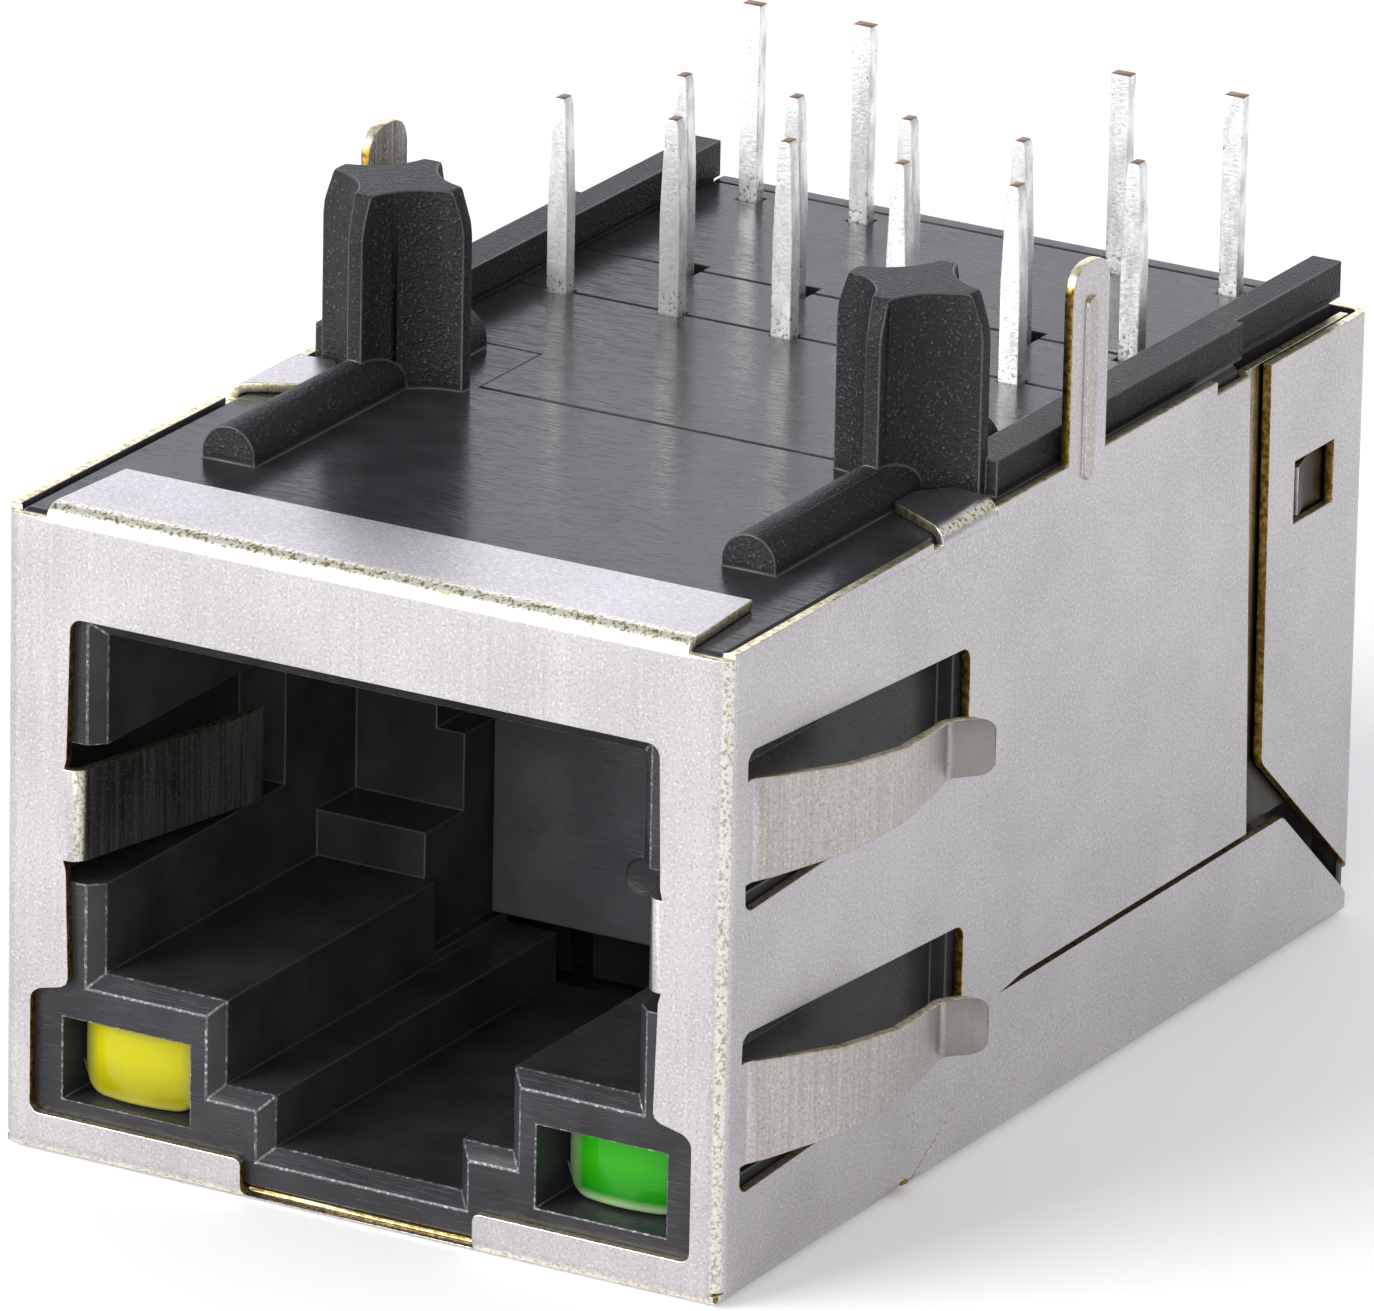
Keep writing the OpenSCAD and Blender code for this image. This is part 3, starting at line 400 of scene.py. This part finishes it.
nylonMoulding = {
    "colour": "#29292C",
    "cloud": "#363639",
    "cloudsPerMm": 0.7,
    "roughness": 0.16,
    "roughSpread": (-0.04, 0.1),
    "ior": 1.53,
    "specular": 0.15,
    "hairWidth": 0.035,       # mm, handling marks across the polished face
    "hairLength": 0.9,
    "hairTurns": (0.1, -0.55, 1.3),
    "hairRange": (0.60, 0.74),
    "hairDepth": 0.0028,
    "mottleSize": 0.08,       # mm, faint orange peel of the moulded face
    "mottleDepth": 0.0016,
    "eroded": (0.06, 0.14),   # mm above the board face, where polish turns to spark-eroded grit
    "sparkSize": 0.06,        # mm, spark-eroded tool texture, drawn coarser than it is
    "sparkDepth": 0.05,
    "sparkRoughness": 0.4,
    # painted glints on the spark-eroded grit
    "sparkGlint": "#8A8A90",
    "sparkGlintRange": (0.60, 0.72),
    "sparkGlintShare": 0.4,
    "gritShade": "#242427",
    # painted highlight along the edges, with its dimmer copy for the edges behind the front
    "edge": "#56565A",
    "edgeFleck": "#A8A8AC",
    "edgeStops": (0.40, 0.55, 0.72),
    "edgeDepth": 0.006,
    "edgeRoughness": 0.35,
    "innerEdge": "#3C3C3C",
    "frontEdge": (-12.0, -12.25),   # mm, behind this the painted highlight on the edges is dimmer
}
carrierNylon = dict(nylonMoulding, colour="#46464B", cloud="#535358")


# black nylon: glossy with fine handling marks where the tool was polished,
# matte with a sparkling grit where it was spark-eroded, which is all that stands above the board face;
# the grit's sparkle is painted as pale glints
def mouldedNylon(name, p, boardFace):
    material, tree, place = newMaterial(name)
    axes = addNode(tree, "SeparateXYZ", {0: place})
    low, high = (boardFace + height for height in p["eroded"])
    proud = addNode(tree, "MapRange", {"Value": axes.outputs[2], "From Min": low, "From Max": high})
    cloud = addNode(tree, "TexNoise", {"Vector": place, "Scale": p["cloudsPerMm"], "Detail": 4.0})
    hairs = None
    for turn in p["hairTurns"]:
        turned = addNode(tree, "Mapping", {
            "Vector": place, "Rotation": (0.0, 0.0, turn),
            "Scale": (1 / p["hairLength"], 1 / p["hairWidth"], 1 / p["hairWidth"])})
        hair = addNode(tree, "TexNoise", {"Vector": turned, "Scale": 1.0, "Detail": 2.0})
        hair = addNode(tree, "MapRange", {
            "Value": hair, "From Min": p["hairRange"][0], "From Max": p["hairRange"][1]})
        hairs = hair if hairs is None else addNode(tree, "Math", {0: hairs, 1: hair}, operation="MAXIMUM")
    mottle = addNode(tree, "TexNoise", {"Vector": place, "Scale": 1 / p["mottleSize"], "Detail": 3.0})
    spark = addNode(tree, "TexNoise", {
        "Vector": place, "Scale": 1 / p["sparkSize"], "Detail": 2.0, "Roughness": 0.6})
    tone = addNode(tree, "ValToRGB", {"Fac": cloud}, ((0.35, p["colour"]), (0.65, p["cloud"])))
    tone = addNode(tree, "Mix", {0: proud, 6: tone, 7: p["gritShade"]}, data_type="RGBA")
    # painted glints on the grit
    sparkGlint = addNode(tree, "MapRange", {
        "Value": spark, "From Min": p["sparkGlintRange"][0], "From Max": p["sparkGlintRange"][1],
        "To Max": p["sparkGlintShare"]})
    shown = addNode(tree, "Math", {0: sparkGlint, 1: proud}, operation="MULTIPLY")
    tone = addNode(tree, "Mix", {0: shown, 6: tone, 7: p["sparkGlint"]}, data_type="RGBA")
    smoothest, roughest = (p["roughness"] + change for change in p["roughSpread"])
    polished = addNode(tree, "MapRange", {
        "Value": mottle, "From Min": 0.3, "From Max": 0.7, "To Min": smoothest, "To Max": roughest})
    rough = addNode(tree, "Mix", {0: proud, 2: polished, 3: p["sparkRoughness"]}, data_type="FLOAT")
    worn = addNode(tree, "Bump", {"Height": mottle, "Distance": p["mottleDepth"] * mm})
    marks = addNode(tree, "Bump", {"Height": hairs, "Distance": -p["hairDepth"] * mm, "Normal": worn})
    grit = addNode(tree, "Math", {0: spark, 1: proud}, operation="MULTIPLY")
    relief = addNode(tree, "Bump", {"Height": grit, "Distance": p["sparkDepth"] * mm, "Normal": marks})
    shader = addNode(tree, "BsdfPrincipled", {
        "Base Color": tone, "Roughness": rough, "Normal": relief,
        "IOR": p["ior"], "Specular IOR Level": p["specular"]})
    addNode(tree, "OutputMaterial", {"Surface": shader})
    return material


# the same nylon along its edges, with a pale broken line painted on as highlight, dimmer behind the front
def nylonEdge():
    p = nylonMoulding
    material, tree, place = newMaterial("nylon edge with painted highlight")
    grit = addNode(tree, "TexNoise", {"Vector": place, "Scale": 1 / p["mottleSize"], "Detail": 3.0})
    tone = addNode(tree, "ValToRGB", {"Fac": grit}, tuple(
        zip(p["edgeStops"], (p["cloud"], p["edge"], p["edgeFleck"]))))
    spot = addNode(tree, "SeparateXYZ", {0: place})
    atFront = addNode(tree, "MapRange", {
        "Value": spot.outputs[1], "From Min": p["frontEdge"][0], "From Max": p["frontEdge"][1]})
    tone = addNode(tree, "Mix", {0: atFront, 6: p["innerEdge"], 7: tone}, data_type="RGBA")
    relief = addNode(tree, "Bump", {"Height": grit, "Distance": p["edgeDepth"] * mm})
    shader = addNode(tree, "BsdfPrincipled", {
        "Base Color": tone, "Roughness": p["edgeRoughness"], "Normal": relief})
    addNode(tree, "OutputMaterial", {"Surface": shader})
    return material


tinDip = {
    "bright": "#FFFFFF",
    "dull": "#D8D7D8",
    "roughness": 0.4,
    "roughSpread": (-0.04, 0.12),
    "metallic": 0.85,         # the dip's grain scatters some light, so it isn't a mirror all over
    "runSize": 0.22,          # mm, runs of the hot dip, three times as long as they are wide
    "runStretch": 3,
    "runDepth": 0.006,
    "pit": "#7A7672",
    "pitSize": 0.09,
    "pitDepth": 0.008,
    "pitRange": (0.65, 0.74),
    "pitShare": 0.8,
    "foot": (13.9, 13.1),     # mm, the dip is granular from here down
    "footPits": 0.1,          # how much more of the noise counts as pits there
    "tip": "#8C7058",
    "tipBand": 0.03,          # mm of bare copper below the cut
    "tipFade": 0.02,
}


# hot tin over copper: bright with shallow runs and small pits, bare copper at the cut tip
def brightTin(name, tip):
    t = tinDip
    bare = tip - t["tipBand"]
    material, tree, place = newMaterial(name)
    axes = addNode(tree, "SeparateXYZ", {0: place})
    across = 1 / t["runSize"]
    stretch = (across, across, across / t["runStretch"])
    along = addNode(tree, "VectorMath", {0: place, 1: stretch}, operation="MULTIPLY")
    runs = addNode(tree, "TexNoise", {"Vector": along, "Scale": 1.0, "Detail": 2.0})
    pits = addNode(tree, "TexNoise", {
        "Vector": place, "Scale": 1 / t["pitSize"], "Detail": 2.0, "Roughness": 0.6})
    foot = addNode(tree, "MapRange", {
        "Value": axes.outputs[2], "From Min": t["foot"][0], "From Max": t["foot"][1],
        "To Max": t["footPits"]})
    depth = addNode(tree, "Math", {0: pits, 1: foot}, operation="ADD")
    pitted = addNode(tree, "MapRange", {
        "Value": depth, "From Min": t["pitRange"][0], "From Max": t["pitRange"][1],
        "To Max": t["pitShare"]})
    tone = addNode(tree, "ValToRGB", {"Fac": runs}, ((0.38, t["bright"]), (0.68, t["dull"])))
    tone = addNode(tree, "Mix", {0: pitted, 6: tone, 7: t["pit"]}, data_type="RGBA")
    cut = addNode(tree, "MapRange", {
        "Value": axes.outputs[2], "From Min": bare, "From Max": bare + t["tipFade"]})
    tone = addNode(tree, "Mix", {0: cut, 6: tone, 7: t["tip"]}, data_type="RGBA")
    smoothest, roughest = (t["roughness"] + change for change in t["roughSpread"])
    rough = addNode(tree, "MapRange", {
        "Value": runs, "From Min": 0.3, "From Max": 0.7, "To Min": smoothest, "To Max": roughest})
    flow = addNode(tree, "Bump", {"Height": runs, "Distance": t["runDepth"] * mm})
    relief = addNode(tree, "Bump", {"Height": pits, "Distance": -t["pitDepth"] * mm, "Normal": flow})
    shader = addNode(tree, "BsdfPrincipled", {
        "Base Color": tone, "Metallic": t["metallic"], "Roughness": rough, "Normal": relief})
    addNode(tree, "OutputMaterial", {"Surface": shader})
    return material


springGold = {
    "light": "#EBD08A",
    "shade": "#D2AC58",
    "lineWidth": 0.05,        # mm, lines that the die left along the strip
    "lineLength": 1.0,
    "roughness": (0.16, 0.34),
}


# gold flash on phosphor bronze spring: warm yellow metal with fine drawn lines
def goldFlash():
    g = springGold
    material, tree, place = newMaterial("gold flashed spring bronze")
    thin, long = 1 / g["lineWidth"], 1 / g["lineLength"]
    along = addNode(tree, "VectorMath", {0: place, 1: (thin, long, long)}, operation="MULTIPLY")
    drawn = addNode(tree, "TexNoise", {"Vector": along, "Scale": 1.0, "Detail": 2.0})
    tone = addNode(tree, "ValToRGB", {"Fac": drawn}, ((0.3, g["shade"]), (0.7, g["light"])))
    rough = addNode(tree, "MapRange", {
        "Value": drawn, "To Min": g["roughness"][0], "To Max": g["roughness"][1]})
    shader = addNode(tree, "BsdfPrincipled", {"Base Color": tone, "Metallic": 1.0, "Roughness": rough})
    addNode(tree, "OutputMaterial", {"Surface": shader})
    return material


lampResin = {
    # name: bright core, its shaded foot and its clear rim
    "yellow_lamp": ("#AFA906", "#8C8608", "#9A9433"),
    "green_lamp": ("#28970E", "#157211", "#7FA070"),
    "footFade": (-0.9, 0.1),        # share of the half height, from the foot up
    "rim": (0.70, 0.86),            # share of the half width or height, outward
    "roughness": 0.12,
    "ior": 1.53,
    "specular": 0.25,
    "swirlsPerMm": 9.0,
    "swirlDepth": 0.002,
    "scatter": 0.3,
    "scatterDepth": 0.3,            # mm that light spreads inside
    "scatterByColour": (1.0, 1.0, 0.4),
}


# epoxy cast in a polished cup: clear and tinted, glowing from the diffuser inside, paler at its rim
def tintedEpoxy(name):
    r = lampResin
    colour, foot, rim = r[name]
    low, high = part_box(name)
    middle = tuple((a + b) / 2 / mm for a, b in zip(low, high))
    inverse = tuple(2 * mm / (b - a) for a, b in zip(low, high))
    material, tree, place = newMaterial(name.replace("_lamp", " tinted epoxy"))
    offset = addNode(tree, "VectorMath", {0: place, 1: middle}, operation="SUBTRACT")
    share = addNode(tree, "VectorMath", {0: offset, 1: inverse}, operation="MULTIPLY")
    signed = addNode(tree, "SeparateXYZ", {0: share})
    size = addNode(tree, "VectorMath", {0: share}, operation="ABSOLUTE")
    axes = addNode(tree, "SeparateXYZ", {0: size})
    swirl = addNode(tree, "TexNoise", {"Vector": place, "Scale": r["swirlsPerMm"], "Detail": 2.0})
    tone = addNode(tree, "MapRange", {
        "Value": signed.outputs[2], "From Min": r["footFade"][0], "From Max": r["footFade"][1]})
    tone = addNode(tree, "ValToRGB", {"Fac": tone}, ((0.0, foot), (1.0, colour)))
    nearest = addNode(tree, "Math", {0: axes.outputs[0], 1: axes.outputs[2]}, operation="MAXIMUM")
    edge = addNode(tree, "MapRange", {"Value": nearest, "From Min": r["rim"][0], "From Max": r["rim"][1]})
    tone = addNode(tree, "Mix", {0: edge, 6: tone, 7: rim}, data_type="RGBA")
    relief = addNode(tree, "Bump", {"Height": swirl, "Distance": r["swirlDepth"] * mm})
    shader = addNode(tree, "BsdfPrincipled", {
        "Base Color": tone, "Roughness": r["roughness"], "Normal": relief,
        "IOR": r["ior"], "Specular IOR Level": r["specular"], "Subsurface Weight": r["scatter"],
        "Subsurface Radius": r["scatterByColour"], "Subsurface Scale": r["scatterDepth"] * mm})
    addNode(tree, "OutputMaterial", {"Surface": shader})
    return material


boardLaminate = {
    "dark": "#14502C",
    "light": "#1C6A3A",
    "weave": 1.6,             # scale of the wave texture, a thread about every 0.2 mm
    "roughness": 0.4,
}


# glass fibre laminate under solder mask: dark green, with the weave showing through
def greenLaminate():
    b = boardLaminate
    material, tree, place = newMaterial("solder mask on laminate")
    weave = addNode(tree, "TexWave", {"Vector": place, "Scale": b["weave"], "Distortion": 1.0})
    tone = addNode(tree, "ValToRGB", {"Fac": weave.outputs["Fac"]}, ((0.0, b["dark"]), (1.0, b["light"])))
    shader = addNode(tree, "BsdfPrincipled", {"Base Color": tone, "Roughness": b["roughness"]})
    addNode(tree, "OutputMaterial", {"Surface": shader})
    return material


coreWinding = {
    "dark": "#5A2E14",
    "light": "#A4612C",
    "turns": 3.0,             # scale of the wave texture, a turn of wire about every 0.1 mm
    "turnDepth": 0.05,        # mm
    "roughness": 0.35,
}


# copper wire with brown enamel wound on a ferrite ring: ridged and glossy
def enamelledWinding():
    c = coreWinding
    material, tree, place = newMaterial("enamelled copper winding")
    turns = addNode(tree, "TexWave", {"Vector": place, "Scale": c["turns"], "Distortion": 2.0})
    ridge = turns.outputs["Fac"]
    tone = addNode(tree, "ValToRGB", {"Fac": ridge}, ((0.0, c["dark"]), (1.0, c["light"])))
    relief = addNode(tree, "Bump", {"Height": ridge, "Distance": c["turnDepth"] * mm})
    shader = addNode(tree, "BsdfPrincipled", {
        "Base Color": tone, "Roughness": c["roughness"], "Normal": relief})
    addNode(tree, "OutputMaterial", {"Surface": shader})
    return material


# shades faces as one smooth skin, without touching the node's own mesh
def makeSmoothing():
    group = bpy.data.node_groups.new("smooth skin", "GeometryNodeTree")
    for side in ("INPUT", "OUTPUT"):
        group.interface.new_socket("Geometry", in_out=side, socket_type="NodeSocketGeometry")
    start = group.nodes.new("NodeGroupInput")
    smooth = group.nodes.new("GeometryNodeSetShadeSmooth")
    end = group.nodes.new("NodeGroupOutput")
    group.links.new(start.outputs[0], smooth.inputs["Geometry"])
    group.links.new(smooth.outputs[0], end.inputs[0])
    return group


smoothing = makeSmoothing()
softEdge = {
    "width": 0.03 * mm,
    "springWidth": 0.04 * mm,
    "lampWidth": 0.08 * mm,
    "segments": 2,
    "sharpAngle": 32,         # degrees, from which an edge is rounded
    "flatAngle": 0.6,         # degrees, below which faces are joined into one
    "weld": 0.002 * mm,
    "shortest": 0.012 * mm,   # edges below this are joined, so that the rounding has room
}


# rounds the edges a little, as every moulded or stamped edge is
def roundEdges(piece, width):
    edge = piece.modifiers.new("round", "BEVEL")
    edge.width = width
    edge.segments = softEdge["segments"]
    edge.limit_method = "ANGLE"
    edge.angle_limit = math.radians(softEdge["sharpAngle"])
    edge.use_clamp_overlap = False
    skin = piece.modifiers.new("skin", "NODES")
    skin.node_group = smoothing
    normals = piece.modifiers.new("normals", "WEIGHTED_NORMAL")
    normals.weight = 100
    normals.keep_sharp = False
    return edge


# gives a piece its material and rounded edges
def dress(name, material, edgeWidth=softEdge["width"], edgeMaterial=None):
    piece = nodes[name]
    piece.data.materials.clear()
    piece.data.materials.append(material)
    weld = piece.modifiers.new("weld", "WELD")
    weld.merge_threshold = softEdge["weld"]
    joined = piece.modifiers.new("join", "WELD")
    joined.mode = "CONNECTED"
    joined.merge_threshold = softEdge["shortest"]
    flat = piece.modifiers.new("flat", "DECIMATE")
    flat.decimate_type = "DISSOLVE"
    flat.angle_limit = math.radians(softEdge["flatAngle"])
    edge = roundEdges(piece, edgeWidth)
    if edgeMaterial:
        piece.data.materials.append(edgeMaterial)
        edge.material = 1


shieldSheet = {
    "thickness": 0.2 * mm,
    "slack": 1.3,             # how much thicker than the sheet a spot may measure and still be sheet
    "probes": 12,             # ways in which each spot is measured
    "reach": 0.01,            # metres, the farthest that a probe looks
    "skin": 0.001 * mm,       # how deep below the face a probe starts
    "probeDepth": 0.15,       # share of the sheet's thickness
    "edgeWidth": 0.02 * mm,
    "shortest": 0.03 * mm,
    "endSteps": 8,            # flats in a round end
    # the springs' pads, in mm: end in Y, half height, corner radius, from and to in X, their middles in Z
    "pad": (-5.22, 0.575, 0.28, 8.7, 9.7, (3.69, 9.32)),
    "padClear": 0.2,          # mm that the cutter reaches past a pad's end
    # marks struck in both side walls, in mm: start and end in Y and Z, half width, from and to in X
    "tab groove": ((1.0, 13.0), (1.0, 15.8), 0.15, 7.60, 7.80),
    "crease": ((-5.42, 0.16), (-3.77, 1.06), 0.03, 7.90, 8.05),
    "corner slit": ((-12.80, 0.29), (-12.42, 0.29), 0.03, 7.74, 8.05),
    # plated where the press thinned the sheet, in mm: from X outward, then from and to in Y and Z
    "plated rib": (7.93, (0.7, 1.3), (12.3, 20.0)),
    "plated crease": (7.85, (-5.6, -3.5), (0.14, 1.3)),
    # painted shade inside the fold, in mm: inward of X, and then behind Y, above Z or farther inward
    "dull": (7.8, 8.0, 13.2, 7.1),
    "facesAside": 0.7,        # how squarely a face looks along X before it counts as inner
}


# how far a spot just under a face is from the skin on both sides, along the closest way
def narrowest(tree, spot, normal):
    reach = shieldSheet["reach"]
    first = normal.orthogonal().normalized()
    second = normal.cross(first)
    least = reach
    for step in range(shieldSheet["probes"]):
        angle = math.pi * step / shieldSheet["probes"]
        way = math.cos(angle) * first + math.sin(angle) * second
        ahead, behind = (tree.ray_cast(spot, w, reach)[3] for w in (way, -way))
        if ahead is not None and behind is not None:
            least = min(least, ahead + behind)
    return least


# round-ended bars where the press struck the sheet, and what it trimmed off the springs' corners
def makeMarks():
    mesh = bmesh.new()
    steps = shieldSheet["endSteps"]
    outlines = []
    for name in ("tab groove", "crease", "corner slit"):
        start, end, half, low, high = shieldSheet[name]
        heading = math.atan2(end[1] - start[1], end[0] - start[0])
        outline = []
        for centre, first in ((end, heading - math.pi / 2), (start, heading + math.pi / 2)):
            for step in range(steps + 1):
                angle = first + math.pi * step / steps
                outline.append((centre[0] + half * math.cos(angle), centre[1] + half * math.sin(angle)))
        outlines.append((outline, low, high))
    tipY, halfHeight, radius, low, high, middles = shieldSheet["pad"]
    past = tipY + shieldSheet["padClear"]
    for middle in middles:
        for way in (-1, 1):
            centre = (tipY - radius, middle + way * (halfHeight - radius))
            outline = [(centre[0], middle + way), (past, middle + way), (past, centre[1])]
            for step in range(steps + 1):
                angle = math.pi / 2 * step / steps
                along, across = radius * math.cos(angle), radius * math.sin(angle)
                outline.append((centre[0] + along, centre[1] + way * across))
            outlines.append((outline, low, high))
    for outline, low, high in outlines:
        for side in (-1, 1):
            rings = [
                [mesh.verts.new((side * x * mm, y * mm, z * mm)) for y, z in outline]
                for x in (low, high)]
            mesh.faces.new(rings[0])
            mesh.faces.new(rings[1])
            for index in range(len(outline)):
                before = index - 1
                mesh.faces.new((rings[0][before], rings[0][index], rings[1][index], rings[1][before]))
    bmesh.ops.recalc_face_normals(mesh, faces=mesh.faces)
    data = bpy.data.meshes.new("marks")
    mesh.to_mesh(data)
    mesh.free()
    marks = bpy.data.objects.new("marks", data)
    bpy.context.collection.objects.link(marks)
    return marks


# the node's mesh with the marks cut out of it
def struckSheet():
    marks = makeMarks()
    sheet = bpy.data.objects.new("sheet", nodes["shield"].data.copy())
    bpy.context.collection.objects.link(sheet)
    weld = sheet.modifiers.new("weld", "WELD")
    weld.merge_threshold = softEdge["weld"]
    cut = sheet.modifiers.new("cut", "BOOLEAN")
    cut.operation = "DIFFERENCE"
    cut.object = marks
    mesh = bmesh.new()
    mesh.from_object(sheet, bpy.context.evaluated_depsgraph_get())
    for spare in (sheet, marks):
        bpy.data.objects.remove(spare)
    return mesh


# whether a spot is where the press thinned the sheet and left its plating whole
def isPlated(spot, region):
    outward, (fore, aft), (low, high) = shieldSheet[region]
    x, y, z = abs(spot.x) / mm, spot.y / mm, spot.z / mm
    return x > outward and fore < y < aft and low < z < high


# whether a plated face looks aside inside the fold, where it gets painted shade
def isInPaintedShade(spot, normal):
    inward, behind, above, deep = shieldSheet["dull"]
    x, y, z = abs(spot.x) / mm, spot.y / mm, spot.z / mm
    inner = abs(normal.x) > shieldSheet["facesAside"] and x < inward
    return inner and (y > behind or z > above or x < deep)


# the shield's skin again, with the sheared edges and the inner faces in painted shade told from the
# bright plate
def makeShield():
    mesh = struckSheet()
    bmesh.ops.remove_doubles(mesh, verts=mesh.verts, dist=softEdge["weld"])
    bmesh.ops.dissolve_degenerate(mesh, edges=mesh.edges, dist=shieldSheet["shortest"])
    flatAngle = math.radians(softEdge["flatAngle"])
    bmesh.ops.dissolve_limit(mesh, angle_limit=flatAngle, verts=mesh.verts, edges=mesh.edges)
    mesh.normal_update()
    tree = BVHTree.FromBMesh(mesh)
    widest = {}               # each face's largest triangle, whose middle lies well inside the face
    for corners in mesh.calc_loop_triangles():
        a, b, c = (corner.vert.co for corner in corners)
        area = (b - a).cross(c - a).length
        face = corners[0].face
        if area > widest.get(face, (0, None))[0]:
            widest[face] = (area, (a + b + c) / 3)
    limit = shieldSheet["slack"] * shieldSheet["thickness"]
    for face in mesh.faces:
        spot = widest[face][1] if face in widest else face.calc_center_median()
        start = spot - face.normal * shieldSheet["skin"]
        depth = tree.ray_cast(start, -face.normal, shieldSheet["reach"])[3]
        sheared = False
        if depth is None or depth > limit:
            inside = spot - face.normal * shieldSheet["probeDepth"] * shieldSheet["thickness"]
            sheared = narrowest(tree, inside, face.normal) < limit
        if isPlated(spot, "plated rib") or isPlated(spot, "plated crease"):
            sheared = False
        if sheared:
            face.material_index = 1       # the slots are bright, sheared and painted shade, as appended below
        else:
            face.material_index = 2 if isInPaintedShade(spot, face.normal) else 0
    data = bpy.data.meshes.new("shieldSheet")
    mesh.to_mesh(data)
    mesh.free()
    piece = bpy.data.objects.new("shieldSheet", data)
    bpy.context.collection.objects.link(piece)
    data.materials.append(satinNickel("satin nickel on rolled brass", nickelPlate))
    data.materials.append(shearedBrass())
    data.materials.append(satinNickel("nickel in painted shade inside the fold", shadedNickel))
    roundEdges(piece, shieldSheet["edgeWidth"])
    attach(piece, "root")
    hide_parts("shield")


makeShield()
print("shield ready")

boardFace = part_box("rear_pin_clamp")[1].z / mm     # in mm, the height of the face that meets the board
nylon = mouldedNylon("moulded black nylon", nylonMoulding, boardFace)
paleHighlight = nylonEdge()
dress("housing", nylon, edgeMaterial=paleHighlight)
carrier = mouldedNylon("moulded nylon carrier", carrierNylon, boardFace)
dress("contact_carrier", carrier, edgeMaterial=paleHighlight)
for name in ("magnetics_tray", "front_pin_clamp", "middle_pin_clamp", "rear_pin_clamp"):
    dress(name, nylon)
print("plastics ready")

pinTin = brightTin("bright tin on copper pin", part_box("signal_pin_1")[1].z / mm)
leadTin = brightTin("bright tin on lamp lead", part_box("lamp_lead_1")[1].z / mm)
gold = goldFlash()
for name in nodes:
    if name.startswith("signal_pin"):
        dress(name, pinTin)
    elif name.startswith("lamp_lead"):
        dress(name, leadTin)
    elif name.startswith("contact_") and name != "contact_carrier":
        dress(name, gold, softEdge["springWidth"])
print("pins and contacts ready")

for name in ("yellow_lamp", "green_lamp"):
    dress(name, tintedEpoxy(name), softEdge["lampWidth"])
dress("inner_board", greenLaminate())
for number in range(1, 5):
    dress(f"transformer_{number}", enamelledWinding())
print("lamps and inner parts ready")
